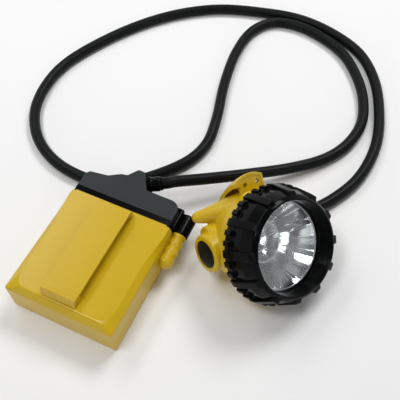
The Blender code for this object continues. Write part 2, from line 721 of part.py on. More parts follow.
def build_cell_holders(foam, nickel):
    """Make the foam round the cells and the strips that join their ends."""
    half = CAVITY_X - GAP
    low = CASE_WALL + GAP
    cell_top = CELL_HEIGHT + CELL_RADIUS + GAP
    body_end = CELL_START + CELL_LENGTH
    solid("cell_pad_lower", box((-half, CELL_START, low), (half, body_end, low + LOWER_PAD)), foam)
    upper = half - CAVITY_CHAMFER
    solid("cell_pad_upper", box((-upper, CELL_START, cell_top), (upper, body_end, CAVITY_TOP - GAP)), foam)
    front = CAVITY_FRONT + GAP
    front_pad = box((-half, front, low), (half, front + FRONT_PAD, CELL_HEIGHT + CELL_RADIUS))
    solid("cell_pad_front", front_pad, foam)
    rear = CELL_END + BUS_THICKNESS + 2 * GAP
    rear_pad = box((-half, rear, low), (half, SPIGOT_START - GAP, CELL_HEIGHT + CELL_RADIUS))
    solid("cell_pad_rear", rear_pad, foam)
    span = (CELL_COUNT - 1) / 2 * CELL_PITCH + CELL_NUB
    for name, start in (("bus_strip_front", front + FRONT_PAD + GAP), ("bus_strip_rear", CELL_END + GAP)):
        strip = box((-span, start, CELL_HEIGHT - BUS_HEIGHT / 2),
                    (span, start + BUS_THICKNESS, CELL_HEIGHT + BUS_HEIGHT / 2))
        solid(name, strip, nickel)


def build_protection_board(green):
    """Make the protection board across the cover's inside, with its chips."""
    inside = CAVITY_X - 2 * GAP - SEAL_DEPTH - SPIGOT_WALL
    start = COVER_START + BOARD_MARGIN
    top = BOARD_HEIGHT + BOARD_THICKNESS
    plate = box((-inside, start, BOARD_HEIGHT), (inside, COVER_INSIDE - GAP, top))
    board = solid("protection_board", plate, green)
    middle = (start + COVER_INSIDE) / 2
    chips = []
    for index in range(CHIP_COUNT):
        x = (index - (CHIP_COUNT - 1) / 2) * CHIP_PITCH
        chips.append(box((x - CHIP_SIZE / 2, middle - CHIP_SIZE / 2, top - GAP),
                         (x + CHIP_SIZE / 2, middle + CHIP_SIZE / 2, top + CHIP_HEIGHT)))
    combine(board, helper("protection_chips", joined(*chips)), "UNION")


def fluted_nut(root, tip, length):
    """Return a gland nut along Z: a fluted grip that narrows towards the cord, with a bore through it."""
    count = 2 * GLAND_FLUTES
    rings = []
    levels = ((root, 0.0), (root, length * GLAND_GRIP), (root - GLAND_FLUTE, length * GLAND_GRIP_END),
              (tip, length * GLAND_NARROW_END), (tip - GLAND_FLUTE, length), (BORE_RADIUS, length),
              (BORE_RADIUS, 0.0))
    for radius, height in levels:
        ring = []
        for index in range(count):
            angle = 2 * math.pi * index / count
            dip = GLAND_FLUTE if index % 2 and radius > BORE_RADIUS else 0.0
            ring.append(((radius - dip) * math.cos(angle), (radius - dip) * math.sin(angle), height))
        rings.append(ring)
    return loft(rings, closed=True)


def build_inlet(prefix, frame, nut, inside, looks):
    """Make a gland nut, the end of the cord inside it and the crimped collar that holds that end."""
    root, tip, length = nut
    black, rubber, brass = looks
    seat = frame @ Matrix.Translation((0.0, 0.0, GAP))
    solid(f"{prefix}_gland", moved(fluted_nut(root, tip, length), seat), black)
    tail = cylinder(CORD_RADIUS, -inside, GAP + length + TAIL_REACH, COARSE)
    solid(f"{prefix}_cord_tail", moved(tail, frame), rubber)
    collar = ring_profile(BORE_RADIUS, BORE_RADIUS + COLLAR_WALL, inside - COLLAR_LENGTH, inside)
    solid(f"{prefix}_cord_collar", moved(turned(collar, COARSE), frame), brass)


def head_inlet_frame():
    """Return the cord inlet's frame on the head, in the head's own frame, at the boss's outer face."""
    return frame_of(Vector((INLET_REACH, INLET_HEIGHT, -INLET_DEPTH)), (1, 0, 0))


def build_cord(rubber, head):
    """Lay the cord along a smooth curve through its hand-chosen route."""
    lead = GAP + TAIL_REACH + GAP
    start = GLAND_FACE + GLAND_AXIS * (GLAND_LENGTH + lead)
    inlet = head.matrix_world @ head_inlet_frame()
    along = (inlet.to_3x3() @ Vector((0, 0, 1))).normalized()
    end = inlet @ Vector((0, 0, HEAD_GLAND_LENGTH + lead))
    points = [start, start + GLAND_AXIS * CORD_LEAD, *[Vector(place) for place in CORD_ROUTE],
              end + along * CORD_LEAD, end]
    points[-2].z = max(points[-2].z, CORD_LAID)
    samples = smooth_path(points, CORD_STEPS)
    print(f"cord length {sum((b - a).length for a, b in zip(samples, samples[1:])):.4f} m")
    curve = bpy.data.curves.new("cord", "CURVE")
    curve.dimensions = "3D"
    curve.bevel_depth = CORD_RADIUS
    curve.bevel_resolution = 3
    curve.use_fill_caps = True
    spline = curve.splines.new("POLY")
    spline.points.add(len(samples) - 1)
    for point, sample in zip(spline.points, samples):
        point.co = (*sample, 1.0)
    curve.materials.append(rubber)
    place("cord", curve, None)


def smooth_path(points, steps):
    """Return points of a centripetal curve through the given points, with a few steps in each span."""
    whole = [2 * points[0] - points[1], *points, 2 * points[-1] - points[-2]]
    path = [points[0]]
    for before, first, second, after in zip(whole, whole[1:], whole[2:], whole[3:]):
        knots = [0.0]
        for one, other in ((before, first), (first, second), (second, after)):
            knots.append(knots[-1] + math.sqrt((other - one).length))
        count = 1 if (second - first).length < 4 * CORD_RADIUS else steps
        for step in range(1, count + 1):
            at = knots[1] + (knots[2] - knots[1]) * step / count
            path.append(blend((before, first, second, after), knots, at))
    return path


def blend(corners, knots, at):
    """Return the point at one knot value of a centripetal span."""
    def between(low, high, one, other):
        return one.lerp(other, (at - low) / (high - low))
    first = [between(knots[i], knots[i + 1], corners[i], corners[i + 1]) for i in range(3)]
    second = [between(knots[i], knots[i + 2], first[i], first[i + 1]) for i in range(2)]
    return between(knots[1], knots[2], second[0], second[1])


def bezel_angles():
    """Return the angles round the bezel at which a rib or tooth starts or ends, with what is there."""
    half_rib = RIB_WIDTH / BEZEL_TIP / 2
    half_tooth = TOOTH_WIDTH / BEZEL_TIP / 2
    period = 2 * math.pi / RIB_COUNT
    angles = []
    for index in range(RIB_COUNT):
        start = RIB_PHASE + index * period
        for middle, half, kind in ((0.0, half_rib, "rib"), (period / 3, half_tooth, "tooth"),
                                   (period * 2 / 3, half_tooth, "tooth")):
            angles += [(start + middle - half - RIB_SLOPE, "root"), (start + middle - half, kind),
                       (start + middle + half, kind), (start + middle + half + RIB_SLOPE, "root")]
    return angles


def build_bezel(black, head):
    """Make the bezel: lip, funnel, ribbed side and toothed rear flange, with the lens seat inside."""
    start = -RIB_START
    flange = -BEZEL_DEPTH + FLANGE_DEPTH
    nose = BEZEL_LIP + BEZEL_LIP_SHARE * (BEZEL_NOSE - BEZEL_LIP)
    inner_lip = BEZEL_LIP - BEZEL_LIP_ROUND
    seat = LENS_RADIUS + GAP
    levels = (
        (inner_lip, inner_lip, inner_lip, -BEZEL_LIP_ROUND),
        (BEZEL_LIP, BEZEL_LIP, BEZEL_LIP, 0.0),
        (nose, nose, nose, -BEZEL_LIP_ROUND),
        (BEZEL_NOSE, BEZEL_NOSE, BEZEL_NOSE, start),
        (BEZEL_NOSE, RIB_FRONT, BEZEL_NOSE, start - GAP),
        ((BEZEL_NOSE + BEZEL_WAIST) / 2 + BEZEL_LIP_ROUND, (RIB_FRONT + BEZEL_TIP) / 2,
         (BEZEL_NOSE + BEZEL_WAIST) / 2 + BEZEL_LIP_ROUND, (start + flange) / 2),
        (BEZEL_WAIST, BEZEL_TIP, BEZEL_WAIST, flange + GAP),
        (BEZEL_FLANGE, BEZEL_TIP, BEZEL_TIP, flange),
        (BEZEL_FLANGE, BEZEL_TIP, BEZEL_TIP, -BEZEL_DEPTH),
        (BEZEL_BORE, BEZEL_BORE, BEZEL_BORE, -BEZEL_DEPTH),
        (BEZEL_BORE, BEZEL_BORE, BEZEL_BORE, -COLLAR_START + GAP),
        (seat, seat, seat, -COLLAR_START + GAP),
        (seat, seat, seat, -LENS_DEPTH + GAP),
        (BEZEL_MOUTH, BEZEL_MOUTH, BEZEL_MOUTH, -LENS_DEPTH + GAP),
    )
    rings = []
    for root, rib, tooth, height in levels:
        reach = {"root": root, "rib": rib, "tooth": tooth}
        rings.append([(reach[kind] * math.cos(angle), reach[kind] * math.sin(angle), height)
                      for angle, kind in bezel_angles()])
    solid("bezel_ring", loft(rings, closed=True), black, head)


def ring_profile(inner, outer, front, back):
    """Return the outline of a ring of square section between two depths."""
    return ((outer, -front), (outer, -back), (inner, -back), (inner, -front))


def build_window(clear, rubber, chrome, head):
    """Make the lens, its gasket, the bezel's seal and the reflector."""
    solid("lens", cylinder(LENS_RADIUS, -LENS_BACK, -LENS_DEPTH, FINE), clear, head)
    gasket = ring_profile(COLLAR_BORE, LENS_RADIUS, GASKET_DEPTH, GASKET_DEPTH + LENS_GASKET)
    solid("lens_gasket", turned(gasket, FINE), rubber, head)
    groove = HEAD_SEAL_DEPTH + GAP
    seal = ring_profile(COLLAR_RADIUS - HEAD_SEAL + GAP, COLLAR_RADIUS, groove, groove + HEAD_SEAL)
    solid("bezel_seal", turned(seal, FINE), rubber, head)
    lip = COLLAR_BORE - GAP
    front = LENS_BACK + SCREW_FIT
    wall = REFLECTOR_WALL
    mouth = lip - wall
    profile = ((lip, -front), (lip, -front - REFLECTOR_LIP), (mouth + wall / 2, -front - REFLECTOR_LIP),
               (REFLECTOR_STEP + wall, -REFLECTOR_STEP_DEPTH - wall),
               (REFLECTOR_INNER + wall, -REFLECTOR_INNER_DEPTH - wall),
               (REFLECTOR_THROAT + wall, -REFLECTOR_DEPTH), (REFLECTOR_THROAT, -REFLECTOR_DEPTH),
               (REFLECTOR_INNER, -REFLECTOR_INNER_DEPTH),
               (REFLECTOR_STEP - REFLECTOR_LEDGE, -REFLECTOR_STEP_DEPTH),
               (REFLECTOR_STEP, -REFLECTOR_STEP_DEPTH), (mouth, -front))
    solid("reflector", turned(profile, FINE), chrome, head)


def housing_body():
    """Return the housing's turned body: thread collar, shoulder and the cone behind the reflector."""
    groove = COLLAR_RADIUS - HEAD_SEAL
    seal_end = HEAD_SEAL_DEPTH + HEAD_SEAL + 2 * GAP
    profile = ((0.0, -COLLAR_START), (COLLAR_RADIUS, -COLLAR_START), (COLLAR_RADIUS, -HEAD_SEAL_DEPTH),
               (groove, -HEAD_SEAL_DEPTH), (groove, -seal_end), (COLLAR_RADIUS, -seal_end),
               (COLLAR_RADIUS, -SHOULDER), (HOUSING_RADIUS, -SHOULDER), (HOUSING_RADIUS, -HOUSING_CONE_START),
               (HOUSING_CONE_REAR, -HOUSING_DEPTH + HOUSING_WALL), (0.0, -HOUSING_DEPTH + HOUSING_WALL))
    return turned(profile, FINE)


def housing_crest(head):
    """Return the fuller upper part of the housing: band and tapering rear, cut level with the switch boss."""
    bend = HOUSING_ROUND
    rear = arc((HOUSING_REAR - bend, -HOUSING_DEPTH + bend), bend, 0, -90, 4)
    start = SHOULDER + GAP
    profile = ((0.0, -start), (CREST_RADIUS, -start), (CREST_RADIUS, -BAND_END),
               (CREST_RADIUS - HOUSING_STEP, -BAND_END - HOUSING_STEP), *rear, (0.0, -HOUSING_DEPTH))
    crest = helper("housing_crest", turned(profile, FINE), head)
    combine(crest, helper("crest_cut", low_side(LOW_SIDE), head), "DIFFERENCE")
    return crest


def low_side(height):
    """Return a block that fills everything below one height of the head's own frame."""
    reach = 2 * HOUSING_DEPTH
    return box((-reach, -reach, -reach), (reach, height, reach))


def housing_inside(head):
    """Return the helper that hollows the housing's upper part and the cone below it."""
    wall = HOUSING_WALL
    taper = BAND_END + HOUSING_STEP
    mouth = COLLAR_BORE - GAP
    upper = ((0.0, -SHOULDER), (mouth, -SHOULDER), (mouth, -SHOULDER - wall),
             (CREST_RADIUS - HOUSING_STEP - wall, -taper), (HOUSING_REAR - 2 * wall, -BACK_INSIDE + wall),
             (HOUSING_REAR - 3 * wall, -BACK_INSIDE), (0.0, -BACK_INSIDE))
    inside = helper("housing_inside", turned(upper, FINE), head)
    combine(inside, helper("inside_cut", low_side(LOW_SIDE + wall), head), "DIFFERENCE")
    combine(inside, helper("inside_floor", head_floor(HEAD_FLAT + wall)), "DIFFERENCE")
    slope = (HOUSING_RADIUS - HOUSING_CONE_REAR) / (HOUSING_DEPTH - wall - HOUSING_CONE_START)
    across = wall * math.sqrt(1.0 + slope * slope)
    bore_end = HOUSING_CONE_START + (HOUSING_RADIUS - across - COLLAR_BORE) / slope
    low_end = SINK_START + GAP
    low_radius = HOUSING_RADIUS - across - slope * (low_end - HOUSING_CONE_START)
    lower = ((0.0, -COLLAR_START + wall), (COLLAR_BORE, -COLLAR_START + wall), (COLLAR_BORE, -bore_end),
             (low_radius, -low_end), (0.0, -low_end))
    cone = moved(turned(lower, FINE), Matrix.Rotation(FACET_TURN, 4, "Z"))
    combine(inside, helper("inside_cone", cone, head), "UNION")
    return inside


def head_floor(height):
    """Return a slab under the head that ends at one height."""
    reach = 2 * HOUSING_DEPTH
    return box((HEAD_CENTRE.x - reach, HEAD_CENTRE.y - reach, -reach),
               (HEAD_CENTRE.x + reach, HEAD_CENTRE.y + reach, height))


def hook_section(x):
    """Return one section of the hook: the plate and the arched roof that runs back from it."""
    fall = HOOK_CROWN * (x / HOOK_RIGHT) ** 2
    start = Vector((HOOK_TOP - fall, -HOOK_PLATE_DEPTH))
    end = Vector((HOOK_ROOT - fall, -HOUSING_DEPTH))
    out = Vector((start.y - end.y, end.x - start.x)).normalized()
    roof = []
    for step in range(HOOK_STEPS + 1):
        share = step / HOOK_STEPS
        roof.append(start.lerp(end, share) + out * HOOK_BULGE * 4 * share * (1 - share))
    plate_back = -HOOK_PLATE_DEPTH - HOOK_WALL
    under = [point - out * HOOK_WALL for point in roof[1:-1]]
    under = [Vector((point.x, min(point.y, plate_back - GAP))) for point in under]
    root = HOUSING_RADIUS - 2 * HOOK_WALL
    ceiling = start.x - HOOK_WALL - HOOK_EDGE
    outline = [(root, -HOOK_PLATE_DEPTH), *roof, (end.x - 2 * HOOK_WALL, -HOUSING_DEPTH + HOUSING_ROUND),
               *reversed(under), (ceiling, plate_back), (root, plate_back)]
    return [(x, y, z) for y, z in outline]


def build_hook(head):
    """Return the hook: arched sections side by side, with the plate drawn in at one side and two holes."""
    span = HOOK_LEFT + HOOK_RIGHT
    sections = [hook_section(-HOOK_LEFT + span * step / HOOK_STEPS) for step in range(HOOK_STEPS + 1)]
    hook = helper("hook", loft(sections), head)
    soften(hook, HOOK_EDGE, 2, math.radians(50.0))
    edge = box((-2 * HOOK_LEFT, 0.0, -HOOK_PLATE_DEPTH - HOOK_WALL - GAP),
               (-HOOK_PLATE_LEFT, HOOK_HOLE_HEIGHT, -HOOK_PLATE_DEPTH + HOOK_WALL))
    combine(hook, helper("hook_plate_edge", edge, head), "DIFFERENCE")
    holes = []
    for side in (-HOOK_HOLE_SPACING / 2, HOOK_HOLE_SPACING / 2):
        hole = cylinder(HOOK_HOLE, -HOOK_PLATE_DEPTH - 2 * HOOK_WALL, -HOOK_PLATE_DEPTH + HOOK_WALL, COARSE)
        holes.append(moved(hole, Matrix.Translation((HOOK_HOLE_SHIFT + side, HOOK_HOLE_HEIGHT, 0.0))))
    combine(hook, helper("hook_holes", joined(*holes), head), "DIFFERENCE")
    return hook


def spur_shape():
    """Return the tapered spur with both ends rounded, in the head's frame."""
    axis = Vector((-math.cos(SPUR_TURN), 0.0, -math.sin(SPUR_TURN)))
    tip = arc((0.0, SPUR_LENGTH - SPUR_END), SPUR_END, 90, 10, 4)
    base = arc((0.0, 0.0), SPUR_BASE, 0, -90, 4)
    profile = [(0.0, SPUR_LENGTH), *tip[1:], *base[:-1], (0.0, -SPUR_BASE)]
    return moved(turned(profile, MEDIUM), frame_of(SPUR_TIP - axis * SPUR_LENGTH, axis, Vector((0, 1, 0))))


def switch_frame():
    """Return the switch's frame on the head: origin on the boss's face, Z running into the housing."""
    return frame_of(Vector((-SWITCH_REACH, SWITCH_HEIGHT, -SWITCH_DEPTH)), (1, 0, 0))


def build_housing(yellow, head):
    """Make the lamp housing with its switch boss, cord boss, hook, spur, hollow and flat."""
    housing = solid("lamp_housing", housing_body(), yellow, head)
    boss_shape = moved(cylinder(SWITCH_BOSS, 0.0, SWITCH_REACH / 2, MEDIUM), switch_frame())
    boss = helper("switch_boss", boss_shape, head)
    soften(boss, SWITCH_BOSS_EDGE)
    cheek_frame = frame_of(Vector((-CHEEK_REACH, CHEEK_HEIGHT, -CHEEK_DEPTH)), (1, 0, 0))
    cheek = helper("cheek", moved(cylinder(CHEEK_RADIUS, 0.0, CHEEK_REACH / 2, MEDIUM), cheek_frame), head)
    soften(cheek, SWITCH_BOSS_EDGE)
    inlet_shape = moved(cylinder(INLET_RADIUS, -INLET_REACH / 2, 0.0, MEDIUM), head_inlet_frame())
    inlet = helper("inlet_boss", inlet_shape, head)
    spur = helper("spur", spur_shape(), head)
    for part in (housing_crest(head), boss, cheek, inlet, build_hook(head), spur):
        combine(housing, part, "UNION")
    combine(housing, helper("head_floor", head_floor(HEAD_FLAT)), "DIFFERENCE")
    inside = housing_inside(head)
    ledge = BUTTON_SKIRT + GAP
    inner_end = CARRIER_END + GAP
    mouth = BUTTON_RADIUS + GAP
    wide = CARRIER_RADIUS + GAP
    bore = turned(((0.0, -SWITCH_BOSS), (mouth, -SWITCH_BOSS), (mouth, ledge), (wide, ledge),
                   (wide, inner_end), (0.0, inner_end)), MEDIUM)
    combine(inside, helper("button_bore", moved(bore, switch_frame()), head), "UNION")
    cord = moved(cylinder(BORE_RADIUS, -INLET_REACH / 2, INLET_RADIUS, MEDIUM), head_inlet_frame())
    combine(inside, helper("inlet_bore", cord, head), "UNION")
    combine(housing, inside, "DIFFERENCE")


def build_switch(rubber, black, green, head):
    """Make the button, its carrier, the switch behind it and the driver board that carries the switch."""
    crown = [(BUTTON_RADIUS * step / CROWN_STEPS, -BUTTON_CROWN * (1 - (step / CROWN_STEPS) ** 2))
             for step in range(CROWN_STEPS + 1)]
    flange = BUTTON_SKIRT + GAP * 2
    flange_end = BUTTON_SKIRT + BUTTON_FLANGE
    profile = [*crown, (BUTTON_RADIUS, flange), (CARRIER_RADIUS, flange), (CARRIER_RADIUS, flange_end),
               (BUTTON_STEM, flange_end), (BUTTON_STEM, STEM_END), (0.0, STEM_END)]
    pivot = bpy.data.objects.new("button_guide", None)
    bpy.context.collection.objects.link(pivot)
    pivot.parent = head
    pivot.matrix_local = switch_frame()
    solid("switch_button", turned(profile, MEDIUM), rubber, pivot)
    inner = CARRIER_RADIUS - CARRIER_WALL
    guide = BUTTON_STEM + SCREW_FIT
    tube = ((guide, CARRIER_START), (CARRIER_RADIUS, CARRIER_START), (CARRIER_RADIUS, CARRIER_END),
            (inner, CARRIER_END), (inner, STEM_END), (guide, STEM_END))
    solid("switch_carrier", moved(turned(tube, MEDIUM), switch_frame()), black, head)
    half = SWITCH_BODY / 2
    shoulder = PLUNGER_START + SWITCH_PLUNGER
    body = box((-half, -half, shoulder), (half, half, DRIVER_START - GAP))
    switch = solid("switch_body", moved(body, switch_frame()), black, head)
    plunger = cylinder(SWITCH_PLUNGER, PLUNGER_START, shoulder + SWITCH_PLUNGER, COARSE)
    combine(switch, helper("switch_plunger", moved(plunger, switch_frame()), head), "UNION")
    board = box((-DRIVER_WIDTH / 2, -DRIVER_LENGTH / 2, DRIVER_START),
                (DRIVER_WIDTH / 2, DRIVER_LENGTH / 2, DRIVER_START + BOARD_THICKNESS))
    solid("driver_board", moved(board, switch_frame()), green, head)


def build_light(emitter, white, aluminium, head):
    """Make the LED, its board and the heat sink against the housing's back."""
    base = prism(arc((0.0, 0.0), LED_SIZE / math.sqrt(2), 45, 315, 3), -LED_FRONT, -LED_FRONT + LED_BASE)
    led = solid("led_emitter", base, emitter, head)
    crown = [(radius, -LED_FRONT + LED_BASE / 2 + height) for radius, height in
             arc((0.0, 0.0), LED_DOME, 90, 0, 4)]
    crown[0] = (0.0, crown[0][1])
    dome = turned([*crown, (0.0, -LED_FRONT + LED_BASE / 2)], COARSE)
    combine(led, helper("led_dome", dome, head), "UNION")
    solid("led_board", cylinder(LED_BOARD, -LED_SEAT - BOARD_THICKNESS, -LED_SEAT, MEDIUM), white, head)
    sink = solid("heat_sink", box((-SINK_LEFT, -SINK_LOW, -SINK_END), (SINK_RIGHT, SINK_HIGH, -SINK_START)),
                 aluminium, head)
    pitch = (SINK_LEFT + SINK_RIGHT) / (SINK_GROOVES + 1)
    slots = []
    for index in range(SINK_GROOVES):
        x = -SINK_LEFT + pitch * (index + 1)
        slots.append(box((x - SINK_GROOVE / 2, LED_BOARD, -SINK_END - GAP),
                         (x + SINK_GROOVE / 2, SINK_HIGH + GAP, -SINK_START - SINK_GROOVE)))
    combine(sink, helper("sink_slots", joined(*slots), head), "DIFFERENCE")


def main():
    """Build every sub-part of the cap lamp."""
    clear_scene()
    yellow = finish("yellow moulded plastic", (0.72, 0.45, 0.04), 0.38)
    black = finish("black moulded plastic", (0.025, 0.026, 0.028), 0.55)
    rubber = finish("black rubber", (0.016, 0.016, 0.017), 0.60)
    steel = finish("stainless steel", (0.55, 0.55, 0.56), 0.30, 1.0)
    brass = finish("brass", (0.60, 0.42, 0.15), 0.35, 1.0)
    nickel = finish("nickel strip", (0.60, 0.58, 0.54), 0.35, 1.0)
    aluminium = finish("aluminium", (0.65, 0.66, 0.67), 0.40, 1.0)
    chrome = finish("bright metal coating", (0.85, 0.85, 0.86), 0.06, 1.0)
    clear = finish("clear polycarbonate", (0.90, 0.93, 0.95), 0.04)
    foam = finish("grey foam", (0.20, 0.20, 0.21), 0.95)
    wrap = finish("blue cell wrap", (0.05, 0.16, 0.40), 0.40)
    green = finish("green circuit board", (0.03, 0.16, 0.06), 0.50)
    white = finish("white solder mask", (0.80, 0.80, 0.78), 0.45)
    emitter = finish("yellow phosphor", (0.85, 0.70, 0.12), 0.30)

    build_case(yellow)
    build_loop(yellow)
    build_cover(black)
    build_cover_seal(rubber)
    build_lock(steel, brass)
    build_cells(wrap)
    build_cell_holders(foam, nickel)
    build_protection_board(green)
    build_inlet("battery", frame_of(GLAND_FACE, GLAND_AXIS), (GLAND_RADIUS, GLAND_TIP_RADIUS, GLAND_LENGTH),
                TAIL_INSIDE, (black, rubber, brass))

    head = bpy.data.objects.new("head_frame", None)
    bpy.context.collection.objects.link(head)
    head.matrix_world = head_frame()
    bpy.context.view_layer.update()
    build_housing(yellow, head)
    build_bezel(black, head)
    build_window(clear, rubber, chrome, head)
    build_switch(rubber, black, green, head)
    build_light(emitter, white, aluminium, head)
    build_inlet("head", head.matrix_world @ head_inlet_frame(),
                (HEAD_GLAND_RADIUS, HEAD_GLAND_TIP, HEAD_GLAND_LENGTH), HEAD_TAIL_INSIDE,
                (black, rubber, brass))
    build_cord(rubber, head)


main()
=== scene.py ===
"""Finished looks of the miner's cap lamp: camera, cord, battery pack, lamp head, light and floor.

Lengths are in metres.  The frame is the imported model's: X across the battery pack, Y along it towards the
black cover, Z up.  Head pieces are drawn in the head's own frame, which has Z along the beam, X towards the
cord inlet, Y towards the hook and its origin at the centre of the bezel's front lip, and are then placed in
the mesh.  A depth is a distance behind that lip.
"""

import json
import logging
import math
from dataclasses import dataclass, field
from enum import Enum

import bmesh
import bpy
from mathutils import Matrix, Vector

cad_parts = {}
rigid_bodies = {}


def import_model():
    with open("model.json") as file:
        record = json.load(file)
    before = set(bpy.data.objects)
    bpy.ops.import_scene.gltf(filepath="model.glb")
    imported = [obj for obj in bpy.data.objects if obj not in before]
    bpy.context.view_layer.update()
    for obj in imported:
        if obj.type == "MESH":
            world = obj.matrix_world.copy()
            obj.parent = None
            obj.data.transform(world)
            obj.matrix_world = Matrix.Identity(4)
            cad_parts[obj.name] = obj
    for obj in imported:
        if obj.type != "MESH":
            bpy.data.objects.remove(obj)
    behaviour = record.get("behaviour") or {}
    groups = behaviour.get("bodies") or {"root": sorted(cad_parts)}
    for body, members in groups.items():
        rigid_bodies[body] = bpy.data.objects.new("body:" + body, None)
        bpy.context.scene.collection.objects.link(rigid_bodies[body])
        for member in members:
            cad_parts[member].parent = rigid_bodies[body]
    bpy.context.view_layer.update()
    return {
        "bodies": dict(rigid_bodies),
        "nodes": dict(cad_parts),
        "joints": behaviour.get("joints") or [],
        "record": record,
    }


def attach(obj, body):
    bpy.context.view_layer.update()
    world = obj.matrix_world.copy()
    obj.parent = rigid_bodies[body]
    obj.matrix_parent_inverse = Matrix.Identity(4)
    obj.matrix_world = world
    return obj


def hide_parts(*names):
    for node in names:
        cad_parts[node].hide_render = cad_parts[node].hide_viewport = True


LOG = logging.getLogger("cap_lamp")

GAP = 0.0003          # fit between neighbouring pieces
MERGE = 1e-7          # points closer than this are one
SMOOTH_ANGLE = math.radians(32.0)
CORNER_SHARE = 0.45   # a rounded corner takes at most this share of a side
EDGE_STEPS = 4        # steps in a small rounded edge
CORNER_STEPS = 12     # steps in a quarter round that shows
SMALL = 32            # steps round a small hole
HIDDEN = 48           # steps round a bore that hardly shows
ROUND = 64            # steps round a boss
FINE = 96             # steps round a piece that shows from near
PATCH_DETAIL = 3.0    # octaves of the noise that drifts colour and roughness
GRAIN_DETAIL = 2.0    # octaves of the noise that makes the relief
COLOUR_A, COLOUR_B, COLOUR_OUT = 6, 7, 2   # a Mix node's sockets for colours

Place = tuple[float, float, float]
Pair = tuple[float, float]
Outline = list[Pair]
Shape = bmesh.types.BMesh


class Body(Enum):
    """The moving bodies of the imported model."""

    LAMP = "lamp"
    WINDOW = "window"
    BEZEL = "bezel"
    BUTTON = "button"


class Cut(Enum):
    """What a second shape does to a piece."""

    JOIN = "UNION"
    TAKE = "DIFFERENCE"


class Texture(Enum):
    """How a finish's fine texture is stretched over the surface."""

    EVEN = (1.0, 1.0, 1.0)
    DRAWN = (0.06, 1.0, 1.0)


def linear(code: str) -> tuple[float, float, float, float]:
    """Turn an sRGB hex colour into linear light.

    Args:
        code: six hex digits.

    Returns:
        Red, green, blue and a full alpha.
    """
    shares = [int(code[start:start + 2], 16) / 255 for start in (0, 2, 4)]
    red, green, blue = (s / 12.92 if s <= 0.04045 else ((s + 0.055) / 1.055) ** 2.4 for s in shares)
    return red, green, blue, 1.0


def add_node(tree: bpy.types.NodeTree, kind: str, inputs: dict | None = None,
             **settings: object) -> bpy.types.Node:
    """Add one node, set its properties, and set or link its inputs.

    Args:
        tree: the node tree that gets the node.
        kind: the node's type name.
        inputs: input name or number to a value, or to the output socket that feeds it.
        settings: the node's own properties.

    Returns:
        The new node.
    """
    made = tree.nodes.new(kind)
    for name, value in settings.items():
        setattr(made, name, value)
    for name, value in (inputs or {}).items():
        if isinstance(value, bpy.types.NodeSocket):
            tree.links.new(value, made.inputs[name])
        else:
            made.inputs[name].default_value = value
    return made


@dataclass(frozen=True)
class Finish:
    """One real material: colour, reflection, and the real size in metres of what its surface shows."""

    name: str
    slot: str
    colour: str
    drift: str
    roughness: float
    spread: float = 0.05
    metallic: float = 0.0
    ior: float = 1.5
    specular: float = 0.5
    transmission: float = 0.0
    patch: float = 0.020
    grain: float = 0.0012
    height: float = 0.00002
    texture: Texture = Texture.EVEN

    def build(self) -> bpy.types.Material:
        """Make the material: colour and roughness that drift in patches, and a fine relief.

        Returns:
            The material.
        """
        material = bpy.data.materials.new(self.name)
        material.use_nodes = True
        tree = material.node_tree
        shader = tree.nodes["Principled BSDF"]
        place = add_node(tree, "ShaderNodeTexCoord").outputs["Object"]
        stretched = add_node(tree, "ShaderNodeMapping", {"Vector": place, "Scale": self.texture.value})
        patches = add_node(tree, "ShaderNodeTexNoise",
                           {"Vector": place, "Scale": 1 / self.patch, "Detail": PATCH_DETAIL})
        grain = add_node(tree, "ShaderNodeTexNoise",
                         {"Vector": stretched.outputs["Vector"], "Scale": 1 / self.grain,
                          "Detail": GRAIN_DETAIL})
        tint = add_node(tree, "ShaderNodeMix",
                        {"Factor": patches.outputs["Fac"], COLOUR_A: linear(self.colour),
                         COLOUR_B: linear(self.drift)}, data_type="RGBA")
        dull = add_node(tree, "ShaderNodeMapRange",
                        {"Value": patches.outputs["Fac"], "To Min": max(0.0, self.roughness - self.spread),
                         "To Max": self.roughness + self.spread})
        relief = add_node(tree, "ShaderNodeBump",
                          {"Height": grain.outputs["Fac"], "Distance": self.height, "Strength": 1.0})
        tree.links.new(tint.outputs[COLOUR_OUT], shader.inputs["Base Color"])
        tree.links.new(dull.outputs["Result"], shader.inputs["Roughness"])
        tree.links.new(relief.outputs["Normal"], shader.inputs["Normal"])
        shader.inputs["Metallic"].default_value = self.metallic
        shader.inputs["IOR"].default_value = self.ior
        shader.inputs["Specular IOR Level"].default_value = self.specular
        shader.inputs["Transmission Weight"].default_value = self.transmission
        return material


